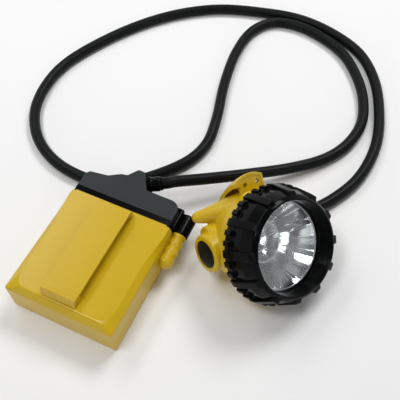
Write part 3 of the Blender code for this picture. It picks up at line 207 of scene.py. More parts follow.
class Look(Enum):
    """The finishes of the lamp, each under its slot in the record."""

    # Golden ABS from a spark-eroded mould: a soft sheen that whitens towards the light
    YELLOW = Finish("yellow ABS", "yellow_plastic", "D1AF12", "C9A60E", 0.28, spread=0.01, specular=0.42,
                    height=0.000006)
    # Charcoal ABS with a matt mould grain: greyer than the rubber beside it
    COVER = Finish("charcoal ABS", "black_plastic", "252A2B", "202526", 0.48, specular=0.26, height=0.00003)
    # Black nylon, smoother than the cover, so that its ribs carry narrow highlights
    NYLON = Finish("black nylon", "black_plastic", "080909", "060707", 0.14, specular=0.08, height=0.000008)
    # Black cord rubber: a long soft highlight along the top of the cord
    RUBBER = Finish("black rubber", "black_rubber", "0F1111", "0B0D0D", 0.38, specular=0.11, height=0.00003)
    # Machined stainless steel: fine turning marks
    STEEL = Finish("stainless steel", "stainless_steel", "C4C4C6", "B8B8BA", 0.28, metallic=1.0, grain=0.0004,
                   texture=Texture.DRAWN)
    # Turned brass: warm, a little dulled
    BRASS = Finish("brass", "brass", "CBAC6A", "BD9D5C", 0.32, metallic=1.0, grain=0.0004,
                   texture=Texture.DRAWN)
    # Rolled nickel strip: long rolling marks
    NICKEL = Finish("nickel strip", "nickel_strip", "CAC7C0", "BEBBB4", 0.35, metallic=1.0, grain=0.0005,
                    texture=Texture.DRAWN)
    # Cast aluminium: a matt, uneven skin
    ALUMINIUM = Finish("cast aluminium", "aluminium", "D2D3D4", "C2C3C5", 0.45, metallic=1.0, grain=0.0015,
                       height=0.00008)
    # Vacuum-coated plastic: a near mirror with a faint ripple from the moulding
    CHROME = Finish("vacuum coating", "bright_coating", "F4F4F4", "ECECEC", 0.09, spread=0.04, metallic=1.0,
                    grain=0.0090, height=0.00008)
    # The same coating over a turned bead: satin, so that it draws a pale line round the dish
    SATIN = Finish("satin coating", "bright_coating", "F0F0F0", "E8E8E8", 0.38, metallic=1.0, grain=0.0004)
    # Clear polycarbonate: polished, with a barely wavy face
    CLEAR = Finish("clear polycarbonate", "clear_plastic", "F7FAFB", "F4F8FA", 0.02, spread=0.01, ior=1.585,
                   transmission=1.0, grain=0.020, height=0.000002)
    # Grey polyethylene foam: open cells, drawn coarser than the real 0.3 mm so that they show
    FOAM = Finish("grey foam", "grey_foam", "7C7C7F", "6C6C70", 0.95, spread=0.03, grain=0.0010,
                  height=0.0003)
    # Blue shrink film on the cells: glossy, with slight slack
    WRAP = Finish("blue shrink film", "cell_wrap", "3F6FAA", "3A67A0", 0.30, grain=0.0060, height=0.0001)
    # Green solder mask over copper: a satin lacquer with faint raised tracks
    MASK = Finish("green solder mask", "circuit_board", "326F46", "2A613C", 0.42, grain=0.0010,
                  height=0.00004, texture=Texture.DRAWN)
    # White solder mask on the aluminium board: bright and matt
    WHITE = Finish("white solder mask", "white_board", "E9E9E6", "DEDEDA", 0.45)
    # Silicone with phosphor powder: a matt yellow grain
    PHOSPHOR = Finish("phosphor silicone", "phosphor", "EED95E", "E6CC4A", 0.38, grain=0.0004)


@dataclass
class Wardrobe:
    """Builds each finish once and puts it on pieces."""

    made: dict[Look, bpy.types.Material] = field(default_factory=dict)

    def material(self, look: Look) -> bpy.types.Material:
        """Return a finish's material, made on first use.

        Args:
            look: the finish.

        Returns:
            The material.
        """
        if look not in self.made:
            self.made[look] = look.value.build()
        return self.made[look]

    def dress(self, piece: bpy.types.Object, look: Look, body: Body, *nodes: str) -> bpy.types.Object:
        """Give a finished piece its material, and let it ride on a body for some CAD nodes.

        Args:
            piece: the finished piece, placed in its mesh.
            look: its finish.
            body: the body that it moves with.
            nodes: the CAD nodes that it stands for.

        Returns:
            The piece.
        """
        piece.data.materials.clear()
        piece.data.materials.append(self.material(look))
        if piece.type == "MESH":
            piece.data.shade_smooth()
            piece.data.set_sharp_from_angle(angle=SMOOTH_ANGLE)
            level = piece.modifiers.new("level faces", "WEIGHTED_NORMAL")
            level.keep_sharp = True
            settle(piece)
        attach(piece, body.value)
        if nodes:
            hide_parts(*nodes)
        LOG.info("%s: %s on %s", piece.name, look.value.name, body.value)
        return piece

    def dress_node(self, node: bpy.types.Object, look: Look) -> None:
        """Give a carried-over CAD node its material, and leave its mesh as it is.

        Args:
            node: the node.
            look: its finish.
        """
        node.data.materials.clear()
        node.data.materials.append(self.material(look))
        LOG.info("%s: %s, carried over", node.name, look.value.name)


def face_out(shape: Shape) -> Shape:
    """Point every face of a closed shape outwards.

    Args:
        shape: the shape.

    Returns:
        The same shape.
    """
    bmesh.ops.recalc_face_normals(shape, faces=shape.faces)
    if shape.calc_volume(signed=True) < 0:
        bmesh.ops.reverse_faces(shape, faces=shape.faces)
    return shape


def loft(rings: list[list[Place]], closed: bool = False) -> Shape:
    """Bridge rings of equal point counts.

    Args:
        rings: the rings, in order.
        closed: whether the last ring joins the first; otherwise both ends are capped.

    Returns:
        The closed shape.
    """
    shape = bmesh.new()
    loops = [[shape.verts.new(point) for point in ring] for ring in rings]
    count = len(loops[0])
    followers = loops[1:] + loops[:1] if closed else loops[1:]
    for low, high in zip(loops, followers):
        for index in range(count):
            after = (index + 1) % count
            shape.faces.new((low[index], low[after], high[after], high[index]))
    if not closed:
        shape.faces.new(list(reversed(loops[0])))
        shape.faces.new(loops[-1])
    return face_out(shape)


def turned(profile: Outline, segments: int) -> Shape:
    """Spin an outline of (radius, height) points once round Z.

    Args:
        profile: the outline; it closes on itself unless both its ends are on the axis.
        segments: number of steps round the axis.

    Returns:
        The closed shape.
    """
    shape = bmesh.new()
    points = [shape.verts.new((radius, 0.0, height)) for radius, height in profile]
    on_axis = profile[0][0] == 0.0 and profile[-1][0] == 0.0
    followers = points[1:] if on_axis else points[1:] + points[:1]
    edges = [shape.edges.new(pair) for pair in zip(points, followers)]
    bmesh.ops.spin(shape, geom=points + edges, cent=(0, 0, 0), axis=(0, 0, 1), angle=2 * math.pi,
                   steps=segments, use_merge=True)
    bmesh.ops.remove_doubles(shape, verts=shape.verts, dist=MERGE)
    return face_out(shape)


def prism(outline: Outline, low: float, high: float) -> Shape:
    """Return an outline of (x, y) points raised from one height to another."""
    return loft([[(x, y, height) for x, y in outline] for height in (low, high)])


def box(low: Place, high: Place) -> Shape:
    """Return a box between two corners."""
    outline = [(low[0], low[1]), (high[0], low[1]), (high[0], high[1]), (low[0], high[1])]
    return prism(outline, low[2], high[2])


def cylinder(radius: float, low: float, high: float, segments: int = ROUND) -> Shape:
    """Return a cylinder along Z between two heights."""
    return turned([(0.0, high), (radius, high), (radius, low), (0.0, low)], segments)


def arc(centre: Pair, radius: float, start: float, end: float, steps: int) -> Outline:
    """Return points of an arc with both ends; angles are in degrees."""
    angles = [math.radians(start + (end - start) * step / steps) for step in range(steps + 1)]
    return [(centre[0] + radius * math.cos(angle), centre[1] + radius * math.sin(angle)) for angle in angles]


def rounded(points: Outline, radius: float, steps: int = EDGE_STEPS, closed: bool = False) -> Outline:
    """Round the corners of a line of points.

    Args:
        points: the corners.
        radius: how far from a corner its curve starts, where the line is long enough.
        steps: number of steps in each curve.
        closed: whether the line closes on itself; otherwise its ends stay.

    Returns:
        The rounded line.
    """
    result: Outline = []
    for index, corner in enumerate(points):
        if not closed and index in (0, len(points) - 1):
            result.append(tuple(corner))
            continue
        here = Vector(corner)
        to_before = Vector(points[index - 1]) - here
        to_after = Vector(points[(index + 1) % len(points)]) - here
        start = here + to_before.normalized() * min(radius, to_before.length * CORNER_SHARE)
        end = here + to_after.normalized() * min(radius, to_after.length * CORNER_SHARE)
        for step in range(steps + 1):
            share = step / steps
            result.append(tuple(start.lerp(here, share).lerp(here.lerp(end, share), share)))
    return result


def moved(shape: Shape, frame: Matrix) -> Shape:
    """Move a shape into a frame and return it."""
    shape.transform(frame)
    return shape


def frame_of(origin: Vector, axis: Place | Vector, up: Place | Vector = (0, 0, 1)) -> Matrix:
    """Make a frame from its origin and its axis.

    Args:
        origin: where it stands.
        axis: where its Z points.
        up: a direction across which its X lies.

    Returns:
        The frame.
    """
    z = Vector(axis).normalized()
    x = Vector(up).cross(z).normalized()
    turn = Matrix((x, z.cross(x), z)).transposed().to_4x4()
    return Matrix.Translation(origin) @ turn


def along_y(shape: Shape) -> Shape:
    """Stand a shape drawn in X and Y, raised along Z, into X and Z along Y."""
    return face_out(moved(shape, Matrix(((1, 0, 0, 0), (0, 0, 1, 0), (0, 1, 0, 0), (0, 0, 0, 1)))))


def along_x(shape: Shape) -> Shape:
    """Stand a shape drawn in X and Y, raised along Z, into Y and Z along X."""
    return face_out(moved(shape, Matrix(((0, 0, 1, 0), (1, 0, 0, 0), (0, 1, 0, 0), (0, 0, 0, 1)))))


def in_scene(name: str, data: bpy.types.ID) -> bpy.types.Object:
    """Show a mesh, a curve, a light or a camera as an object of the scene.

    Args:
        name: the object's name.
        data: what it shows.

    Returns:
        The object, at the origin.
    """
    made = bpy.data.objects.new(name, data)
    bpy.context.scene.collection.objects.link(made)
    return made


def to_object(name: str, *shapes: Shape) -> bpy.types.Object:
    """Turn closed shapes into one object in the scene.

    Args:
        name: the object's name.
        shapes: the shapes, which are used up.

    Returns:
        The object, at the origin.
    """
    whole = bmesh.new()
    for shape in shapes:
        part = bpy.data.meshes.new("part")
        face_out(shape).to_mesh(part)
        shape.free()
        whole.from_mesh(part)
        bpy.data.meshes.remove(part)
    mesh = bpy.data.meshes.new(name)
    whole.to_mesh(mesh)
    whole.free()
    return in_scene(name, mesh)


def to_shape(piece: bpy.types.Object) -> Shape:
    """Turn an object back into a shape.

    Args:
        piece: the object, which is used up.

    Returns:
        The shape.
    """
    shape = bmesh.new()
    shape.from_mesh(piece.data)
    bpy.data.objects.remove(piece)
    return shape


def settle(piece: bpy.types.Object) -> bpy.types.Object:
    """Turn a piece's modifiers into plain mesh.

    Args:
        piece: the piece.

    Returns:
        The same piece.
    """
    bpy.context.view_layer.update()
    graph = bpy.context.evaluated_depsgraph_get()
    mesh = bpy.data.meshes.new_from_object(piece.evaluated_get(graph))
    old = piece.data
    piece.modifiers.clear()
    piece.data = mesh
    bpy.data.meshes.remove(old)
    mesh.name = piece.name
    return piece


def shape_with(piece: bpy.types.Object, cut: Cut, *shapes: Shape) -> None:
    """Join shapes to a piece, or take them from it, one after another.

    Args:
        piece: the piece to change.
        cut: what the shapes do to it.
        shapes: closed shapes in the piece's frame, which are used up.
    """
    for shape in shapes:
        tool = to_object("tool", shape)
        modifier = piece.modifiers.new("tool", "BOOLEAN")
        modifier.object = tool
        modifier.operation = cut.value
        modifier.solver = "MANIFOLD"
        settle(piece)
        bpy.data.objects.remove(tool)


def soften(piece: bpy.types.Object, width: float, angle: float = 40.0, segments: int = 3) -> None:
    """Round a piece's sharper edges.

    Args:
        piece: the piece.
        width: how far from an edge its curve starts.
        angle: edges that bend by more than this are rounded, in degrees.
        segments: number of steps in each curve.
    """
    modifier = piece.modifiers.new("edges", "BEVEL")
    modifier.width = width
    modifier.segments = segments
    modifier.limit_method = "ANGLE"
    modifier.angle_limit = math.radians(angle)
    settle(piece)


def ring_tree(material: bpy.types.Material) -> bpy.types.NodeTree:
    """Return a node group that repeats its geometry round Z.

    Args:
        material: the material that the copies get.

    Returns:
        The group, with the inputs Geometry, Count and Phase.
    """
    tree = bpy.data.node_groups.new("repeat round the axis", "GeometryNodeTree")
    tree.interface.new_socket("Geometry", in_out="INPUT", socket_type="NodeSocketGeometry")
    tree.interface.new_socket("Count", in_out="INPUT", socket_type="NodeSocketInt")
    tree.interface.new_socket("Phase", in_out="INPUT", socket_type="NodeSocketFloat")
    tree.interface.new_socket("Geometry", in_out="OUTPUT", socket_type="NodeSocketGeometry")
    given = add_node(tree, "NodeGroupInput").outputs
    points = add_node(tree, "GeometryNodePoints", {"Count": given["Count"]})
    step = add_node(tree, "ShaderNodeMath", {0: 2 * math.pi, 1: given["Count"]}, operation="DIVIDE")
    index = add_node(tree, "GeometryNodeInputIndex")
    angle = add_node(tree, "ShaderNodeMath", {0: index.outputs[0], 1: step.outputs[0], 2: given["Phase"]},
                     operation="MULTIPLY_ADD")
    turn = add_node(tree, "ShaderNodeCombineXYZ", {"Z": angle.outputs[0]})
    copies = add_node(tree, "GeometryNodeInstanceOnPoints",
                      {"Points": points.outputs[0], "Instance": given["Geometry"],
                       "Rotation": turn.outputs[0]})
    real = add_node(tree, "GeometryNodeRealizeInstances", {"Geometry": copies.outputs[0]})
    dressed = add_node(tree, "GeometryNodeSetMaterial", {"Geometry": real.outputs[0], "Material": material})
    add_node(tree, "NodeGroupOutput", {"Geometry": dressed.outputs[0]})
    return tree


def ring_of(source: bpy.types.Object, count: int, phase: float,
            material: bpy.types.Material) -> bpy.types.Object:
    """Repeat a piece round Z and turn the result into plain mesh.

    Args:
        source: the piece, drawn in its place at angle zero.
        count: number of copies.
        phase: angle of the first copy.
        material: the copies' material.

    Returns:
        The same object with all copies in its mesh.
    """
    modifier = source.modifiers.new("ring", "NODES")
    modifier.node_group = ring_tree(material)
    given = {item.name: item.identifier for item in modifier.node_group.interface.items_tree
             if item.in_out == "INPUT"}
    modifier[given["Count"]] = count
    modifier[given["Phase"]] = phase
    return settle(source)


def merged(name: str, *pieces: bpy.types.Object) -> bpy.types.Object:
    """Gather plain meshes into one object.

    Args:
        name: the object's name.
        pieces: the pieces, which are used up.

    Returns:
        The object.
    """
    whole = bmesh.new()
    for piece in pieces:
        whole.from_mesh(piece.data)
        bpy.data.objects.remove(piece)
    mesh = bpy.data.meshes.new(name)
    whole.to_mesh(mesh)
    whole.free()
    return in_scene(name, mesh)


@dataclass(frozen=True)
class HeadPlace:
    """Where the lamp head lies and how it is tilted."""

    centre: Place = (0.12255, 0.05214, 0.0465)
    azimuth: float = math.radians(-19.0)
    elevation: float = math.radians(41.6)
    roll: float = math.radians(-19.0)

    def matrix(self) -> Matrix:
        """Work out the head's frame.

        Returns:
            The frame.
        """
        beam = Vector((math.cos(self.elevation) * math.cos(self.azimuth),
                       math.cos(self.elevation) * math.sin(self.azimuth), math.sin(self.elevation)))
        level = Vector((-math.sin(self.azimuth), math.cos(self.azimuth), 0.0))
        side = math.cos(self.roll) * level + math.sin(self.roll) * beam.cross(level)
        turn = Matrix((side, beam.cross(side), beam)).transposed().to_4x4()
        return Matrix.Translation(self.centre) @ turn


@dataclass
class Gland:
    """A cord gland: a nut with a fluted grip that narrows towards the cord."""

    frame: Matrix
    root: float
    tip: float
    length: float
    bore: float = 0.00465
    flute: float = 0.0005
    flutes: int = 16
    grip: float = 0.32
    narrow: float = 0.90
    lip: float = 0.0050
    lip_length: float = 0.0017
    edge_steps: int = 3

    def mouth(self, beyond: float) -> Vector:
        """Return the point on the gland's axis at a distance beyond the nut."""
        return self.frame @ Vector((0.0, 0.0, self.length + beyond))

    def build(self, wardrobe: Wardrobe, prefix: str) -> None:
        """Make the nut and its flutes.

        Args:
            wardrobe: where the finish comes from.
            prefix: the end of the cord that it is on.
        """
        seat = self.frame @ Matrix.Translation((0.0, 0.0, GAP))
        neck = self.root - self.flute
        waist = self.length * self.grip
        line = rounded([(self.bore, 0.0), (neck, 0.0), (neck, waist), (neck - self.flute, waist + self.flute),
                        (self.tip, self.length * self.narrow), (self.tip - self.flute, self.length),
                        (self.lip, self.length), (self.lip, self.length + self.lip_length),
                        (self.bore, self.length + self.lip_length)], self.flute, self.edge_steps, closed=True)
        nut = to_object(f"{prefix}_gland_nut", moved(turned(line, FINE), seat))
        wardrobe.dress(nut, Look.NYLON, Body.LAMP, f"{prefix}_gland")
        width = math.pi * self.root / self.flutes
        ridge = rounded([(neck - self.flute, -width / 2), (self.root, -width / 4), (self.root, width / 4),
                         (neck - self.flute, width / 2)], self.flute, self.edge_steps, closed=True)
        source = to_object(f"{prefix}_gland_grip", prism(ridge, self.flute, waist - self.flute))
        grip = ring_of(source, self.flutes, 0.0, wardrobe.material(Look.NYLON))
        grip.data.transform(seat)
        wardrobe.dress(grip, Look.NYLON, Body.LAMP)


@dataclass
class Cord:
    """The rubber cord: one smooth curve through the same route as the CAD solid."""

    radius: float = 0.00435
    laid: float = 0.0044
    lead: float = 0.0045
    reach: float = 0.0012
    steps: int = 6
    side_steps: int = 6
    hanging: tuple[Place, ...] = (
        (0.0211, 0.0828, 0.0198), (0.0391, 0.0960, 0.0170), (0.0665, 0.1168, 0.0130),
        (0.0915, 0.1380, 0.0085), (0.1120, 0.1600, 0.0050))
    lying: tuple[Pair, ...] = (
        (0.1235, 0.1810), (0.1278, 0.2080), (0.1205, 0.2370), (0.1070, 0.2610), (0.0890, 0.2810),
        (0.0640, 0.2940), (0.0400, 0.2990), (0.0185, 0.2940), (0.0055, 0.2760), (0.0025, 0.2450),
        (0.0085, 0.2030), (0.0190, 0.1620), (0.0222, 0.1360), (0.0165, 0.1150), (-0.0024, 0.0895),
        (-0.0230, 0.0725), (-0.0495, 0.0668), (-0.0800, 0.0716), (-0.1060, 0.0875), (-0.1245, 0.1150),
        (-0.1300, 0.1570), (-0.1140, 0.2040), (-0.0800, 0.2555), (-0.0400, 0.2880), (0.0036, 0.3032),
        (0.0400, 0.3086), (0.0740, 0.3020), (0.1030, 0.2870), (0.1230, 0.2620), (0.1375, 0.2265),
        (0.1449, 0.1888), (0.1410, 0.1526), (0.1294, 0.1267))

    def corners(self, near: Gland, far: Gland) -> list[Vector]:
        """Gather the route's points from one gland's mouth to the other's.

        Args:
            near: the gland on the battery pack.
            far: the gland on the lamp head.

        Returns:
            The points.
        """
        route = [Vector(point) for point in self.hanging]
        route += [Vector((x, y, self.laid)) for x, y in self.lying]
        last = far.mouth(self.reach + self.lead)
        last.z = max(last.z, self.laid)
        first = near.mouth(self.reach + self.lead)
        return [near.mouth(self.reach), first, *route, last, far.mouth(self.reach)]

    def path(self, points: list[Vector]) -> list[Vector]:
        """Run a centripetal curve through the route.

        Args:
            points: the route's points.

        Returns:
            Points of the curve.
        """
        whole = [2 * points[0] - points[1], *points, 2 * points[-1] - points[-2]]
        found = [points[0]]
        for span in zip(whole, whole[1:], whole[2:], whole[3:]):
            knots = [0.0]
            for one, other in zip(span, span[1:]):
                knots.append(knots[-1] + math.sqrt((other - one).length))
            for step in range(1, self.steps + 1):
                at = knots[1] + (knots[2] - knots[1]) * step / self.steps
                found.append(self.blend(span, knots, at))
        return found

    @staticmethod
    def blend(span: tuple[Vector, ...], knots: list[float], at: float) -> Vector:
        """Return the point at one knot value of a span of four points.

        Args:
            span: the four points.
            knots: their knot values.
            at: the knot value that is wanted.

        Returns:
            The point.
        """
        line = list(span)
        for width in (1, 2):
            line = [line[i].lerp(line[i + 1], (at - knots[i]) / (knots[i + width] - knots[i]))
                    for i in range(len(line) - 1)]
        return line[0].lerp(line[1], (at - knots[1]) / (knots[2] - knots[1]))

    def build(self, wardrobe: Wardrobe, near: Gland, far: Gland) -> None:
        """Args:
            wardrobe: where the finish comes from.
            near: the gland on the battery pack.
            far: the gland on the lamp head.
        """
        path = self.path(self.corners(near, far))
        curve = bpy.data.curves.new("lamp_cord", "CURVE")
        curve.dimensions = "3D"
        curve.bevel_depth = self.radius
        curve.bevel_resolution = self.side_steps
        curve.use_fill_caps = True
        spline = curve.splines.new("POLY")
        spline.points.add(len(path) - 1)
        for point, place in zip(spline.points, path):
            point.co = (*place, 1.0)
        spline.use_smooth = True
        piece = in_scene("lamp_cord", curve)
        wardrobe.dress(piece, Look.RUBBER, Body.LAMP, "cord")


@dataclass
class BatteryPack:
    """The belt battery: case with raised panel, belt loop, and end cover with its cord block and lock lug."""

    # Case, with its raised panel and the shallow belt recess
    width: float = 0.0790
    length: float = 0.0820
    height: float = 0.0295
    wall: float = 0.0026
    corner: float = 0.0018
    foot: float = 0.0008
    panel_inset: float = 0.0040
    panel_drop: float = 0.0038
    panel_corner: float = 0.0080
    panel_round: float = 0.0011
    panel_round_steps: int = 5
    panel_waist: Pair = (0.35, 1.35)
    panel_curve: Pair = (0.0370, 0.0080)
    panel_steps: int = 20
    cavity_cut: float = 0.0025
    belt_start: float = -0.0280
    belt_end: float = 0.0355
    belt_recess: float = 0.0008
    belt_line: float = 0.0004
    belt_ramp: float = 0.0100
    lip: float = 0.0010
    # Belt loop
    loop_x: float = -0.0013
    loop_width: float = 0.0250
    loop_height: float = 0.0070
    loop_plate: float = 0.0023
    loop_round: float = 0.0028
    loop_front: float = 0.0060
    loop_rear: float = 0.0040
    loop_front_steps: int = 6
    loop_rear_steps: int = 8
    loop_edge: float = 0.0008
    loop_sharp: float = 60.0
    loop_flare: float = 0.0018
    loop_line: float = 0.0003
    loop_line_run: float = 0.0020
    # Lock boss on the case
    boss_x: float = 0.0428
    boss_z: float = 0.0150
    boss_radius: float = 0.0056
    boss_length: float = 0.0225
    boss_over: float = 0.0034
    boss_dent: float = 0.0008
    boss_dents: float = 3.0
    boss_steps: int = 40
    insert_bore: float = 0.0039
    insert_depth: float = 0.0123
    # Cover, with its spigot and seal groove
    cover_left: float = 0.0374
    cover_right: float = 0.0370
    cover_length: float = 0.0208
    cover_taper: float = 0.0022
    cover_fall: float = 0.0020
    cover_cut: float = 0.0030
    cover_corner: float = 0.0080
    cover_edge: float = 0.0009
    cover_wall: float = 0.0028
    strip_length: float = 0.0052
    strip_drop: float = 0.0016
    spigot: float = 0.0050
    spigot_wall: float = 0.0020
    seal_width: float = 0.0014
    seal_depth: float = 0.0013
    # Cord block on the cover
    block_length: float = 0.0135
    block_left: float = -0.0215
    block_shoulder: float = 0.0060
    block_steps: tuple[Pair, ...] = ((-0.0090, 0.0), (-0.0136, -0.0010))
    block_right: float = 0.0095
    block_tip: float = 0.0050
    block_gland: float = 0.0088
    gland_turn: float = math.radians(32.0)
    gland_height: float = 0.0205
    gland_root: float = 0.0062
    gland_tip: float = 0.0055
    gland_length: float = 0.0098
    pocket: float = 0.0076
    lead_slot: float = 0.0028
    # Lock lug on the cover
    lug_length: float = 0.0160
    lug_radius: float = 0.0058
    lug_reach: float = 0.0030
    lug_drop: float = 0.0075
    lug_rise: float = 0.0100
    lug_edge: float = 0.0016
    lug_steps: int = 5
    screw_seat: float = 0.0060
    screw_head: float = 0.0040
    screw_shank: float = 0.0024

    @property
    def rear(self) -> float:
        """The case's open end."""
        return self.length / 2

    @property
    def cover_start(self) -> float:
        """The cover's face against the case."""
        return self.rear + GAP

    @property
    def cover_end(self) -> float:
        """The cover's rear face beside its block."""
        return self.cover_start + self.cover_length

    @property
    def lug_start(self) -> float:
        """The lug's face against the lock boss."""
        return self.rear + self.boss_over + GAP

    @property
    def seal_floor(self) -> float:
        """How far the seal groove's floor lies from the case's inside."""
        return GAP + self.seal_depth

    def gland(self) -> Gland:
        """Place the cord gland in the cover's block.

        Returns:
            The gland.
        """
        face = self.block_right - self.block_gland * math.tan(self.gland_turn)
        origin = Vector((face, self.cover_end + self.block_gland, self.gland_height))
        axis = (math.cos(self.gland_turn), math.sin(self.gland_turn), 0.0)
        return Gland(frame_of(origin, axis), self.gland_root, self.gland_tip, self.gland_length)

    def section(self, inset: float) -> Outline:
        """Draw a section of the case's inside.

        Args:
            inset: how far it is drawn in.

        Returns:
            The outline in X and Z.
        """
        x = self.width / 2 - self.wall - inset
        low = self.wall + inset
        high = self.height - self.belt_recess - self.wall - inset
        cut = self.cavity_cut
        return [(-x, low), (x, low), (x, high - cut), (x - cut, high), (-x + cut, high), (-x, high - cut)]

    def side_inset(self, inset: float, y: float) -> float:
        """Work out how far the case's side is drawn in: least beside the cover.

        Args:
            inset: the mean of what it is drawn in.
            y: the place along the case.

        Returns:
            What it is drawn in there.
        """
        start, end = self.panel_curve
        share = min(1.0, max(0.0, (start - y) / (start - end)))
        least, most = self.panel_waist
        return inset * (least + (most - least) * share * share * (3 - 2 * share))

    def outline(self, inset: float, corner: float) -> Outline:
        """Draw the case from above.

        Args:
            inset: how far its front is drawn in, and its sides more and more towards the front.
            corner: the radius of its front corners.

        Returns:
            The outline in X and Y.
        """
        front = -self.rear + inset
        bend = front + corner
        x = self.width / 2 - self.side_inset(inset, bend)
        side = [self.rear + (bend - self.rear) * step / self.panel_steps for step in range(self.panel_steps)]
        right = [(self.width / 2 - self.side_inset(inset, y), y) for y in side]
        return [*[(-place, y) for place, y in right],
                *arc((-x + corner, bend), corner, 180, 270, CORNER_STEPS),
                *arc((x - corner, bend), corner, 270, 360, CORNER_STEPS), *reversed(right)]

    def lock_frame(self, y: float) -> Matrix:
        """Return the frame on the lock screw's axis that looks along Y."""
        return frame_of(Vector((self.boss_x, y, self.boss_z)), (0, 1, 0))

    def boss(self) -> Shape:
        """Draw the lock boss: a dented round bar with a domed front end.

        Returns:
            The boss along Z, with the case's open end at zero.
        """
        dome = arc((0.0, -self.boss_length + self.boss_radius), self.boss_radius, 0, -90, CORNER_STEPS)
        dome[-1] = (0.0, dome[-1][1])
        side = []
        run = self.boss_over - dome[0][1]
        for step in range(self.boss_steps):
            share = step / self.boss_steps
            dent = self.boss_dent * (0.5 - 0.5 * math.cos(2 * math.pi * self.boss_dents * share))
            side.append((self.boss_radius - dent, self.boss_over - run * share))
        return turned([(0.0, self.boss_over), *side, *dome], ROUND)

    def build_case(self, wardrobe: Wardrobe) -> None:
        """Make the case: rounded sides, sloping shoulder, raised panel, belt recess, hollow and lock boss.

        Args:
            wardrobe: where the finish comes from.
        """
        inner = self.panel_inset + 2 * self.panel_round
        levels = rounded([(0.0, self.foot * 2), (0.0, self.foot), (self.foot, 0.0),
                          (self.height - self.panel_drop, 0.0), (self.height, self.panel_inset),
                          (self.height, inner)], self.panel_round, self.panel_round_steps)
        spread = self.panel_corner - self.corner
        rings = []
        for z, inset in levels:
            share = min(1.0, inset / self.panel_inset) if z > self.height / 2 else 0.0
            corner = self.corner + spread * share
            rings.append([(x, y, z) for x, y in self.outline(inset, corner)])
        case = to_object("case_body", loft(rings))
        low = self.height - self.belt_line
        recess = [(self.belt_start, low), (self.belt_end - self.belt_ramp, low), (self.belt_end, self.height),
                  (self.belt_end, 2 * self.height), (self.belt_start, 2 * self.height)]
        shape_with(case, Cut.TAKE, along_x(prism(recess, -self.width, self.width)))
        panel = self.width / 2 - self.panel_inset
        lip = box((-panel, self.rear - self.lip, self.height - self.lip),
                  (panel, self.rear + self.lip, self.height))
        lock = self.lock_frame(self.rear)
        shape_with(case, Cut.JOIN, moved(self.boss(), lock), lip)
        cavity = along_y(prism(self.section(0.0), -self.rear + self.wall, self.rear + self.wall))
        bore = cylinder(self.insert_bore, self.boss_over - self.insert_depth, self.boss_over + self.wall,
                        HIDDEN)
        shape_with(case, Cut.TAKE, cavity, moved(bore, lock))
        wardrobe.dress(case, Look.YELLOW, Body.LAMP, "battery_case")

    def build_loop(self, wardrobe: Wardrobe) -> None:
        """Make the belt loop: a rounded strap on two feet, the front one flared, with a fine line across.

        Args:
            wardrobe: where the finish comes from.
        """
        foot = self.height + GAP
        top = self.height + self.loop_height
        front = self.belt_start - self.loop_front
        rear = self.belt_end + self.loop_rear
        bend = self.loop_round
        inner = bend / 2
        under = top - self.loop_plate
        line = front + self.loop_line_run
        fine = self.loop_line
        nose = rounded([(front - self.loop_flare, foot), (front, top), (line, top)], inner,
                       self.loop_front_steps)
        outline = [*nose, (line + fine, top - fine), (line + 2 * fine, top),
                   *arc((rear - bend, top - bend), bend, 90, 0, self.loop_rear_steps),
                   (rear, foot), (self.belt_end, foot),
                   *arc((self.belt_end - inner, under - inner), inner, 0, 90, EDGE_STEPS),
                   *arc((self.belt_start + inner, under - inner), inner, 90, 180, EDGE_STEPS),
                   (self.belt_start, foot)]
        strap = along_x(prism(outline, self.loop_x - self.loop_width / 2, self.loop_x + self.loop_width / 2))
        loop = to_object("loop_strap", strap)
        soften(loop, self.loop_edge, self.loop_sharp, EDGE_STEPS)
        wardrobe.dress(loop, Look.YELLOW, Body.LAMP, "belt_loop")

    def cover_outline(self) -> Outline:
        """Draw the cover from above, with its cord block.

        Returns:
            The outline in X and Y.
        """
        end = self.cover_end
        bend = self.cover_corner
        corner = arc((self.cover_right - bend, end - bend), bend, 0, 90, CORNER_STEPS)
        tip = end + self.block_length
        tip_right = self.block_right - self.block_length * math.tan(self.gland_turn)
        shoulder = end + self.block_shoulder
        steps = [(x, shoulder + fall) for x, fall in self.block_steps]
        back = end - self.cover_fall
        return [(-self.cover_left, self.cover_start), (self.cover_right, self.cover_start), *corner,
                (self.block_right, end), (tip_right, tip), (tip_right - self.block_tip, tip), *steps,
                (self.block_left, end), (-self.cover_left + self.cover_taper, back),
                (-self.cover_left, back - self.cover_cut)]

    def lug(self) -> Shape:
        """Draw the lock lug: a rounded block with a barrel round the screw.

        Returns:
            The lug in its place.
        """
        low = (self.cover_right - self.cover_corner, self.lug_start, self.boss_z - self.lug_drop)
        high = (self.cover_right + self.lug_reach, self.cover_end - self.cover_edge,
                self.boss_z + self.lug_rise)
        lug = to_object("lug", box(low, high))
        soften(lug, self.lug_edge, segments=self.lug_steps)
        barrel = rounded([(0.0, self.lug_length), (self.lug_radius, self.lug_length), (self.lug_radius, 0.0),
                          (0.0, 0.0)], self.lug_edge / 2)
        shape_with(lug, Cut.JOIN, moved(turned(barrel, ROUND), self.lock_frame(self.lug_start)))
        return to_shape(lug)

    def spigot_ring(self) -> Shape:
        """Draw the spigot that goes into the case, with its seal groove.

        Returns:
            The spigot, still solid.
        """
        start = self.rear - self.spigot
        seal = start + self.spigot_wall
        seal_end = seal + self.seal_width + 2 * GAP
        steps = ((start, GAP), (seal, GAP), (seal, self.seal_floor), (seal_end, self.seal_floor),
                 (seal_end, GAP), (self.cover_start + self.cover_wall, GAP))
        return loft([[(x, y, z) for x, z in self.section(inset)] for y, inset in steps])

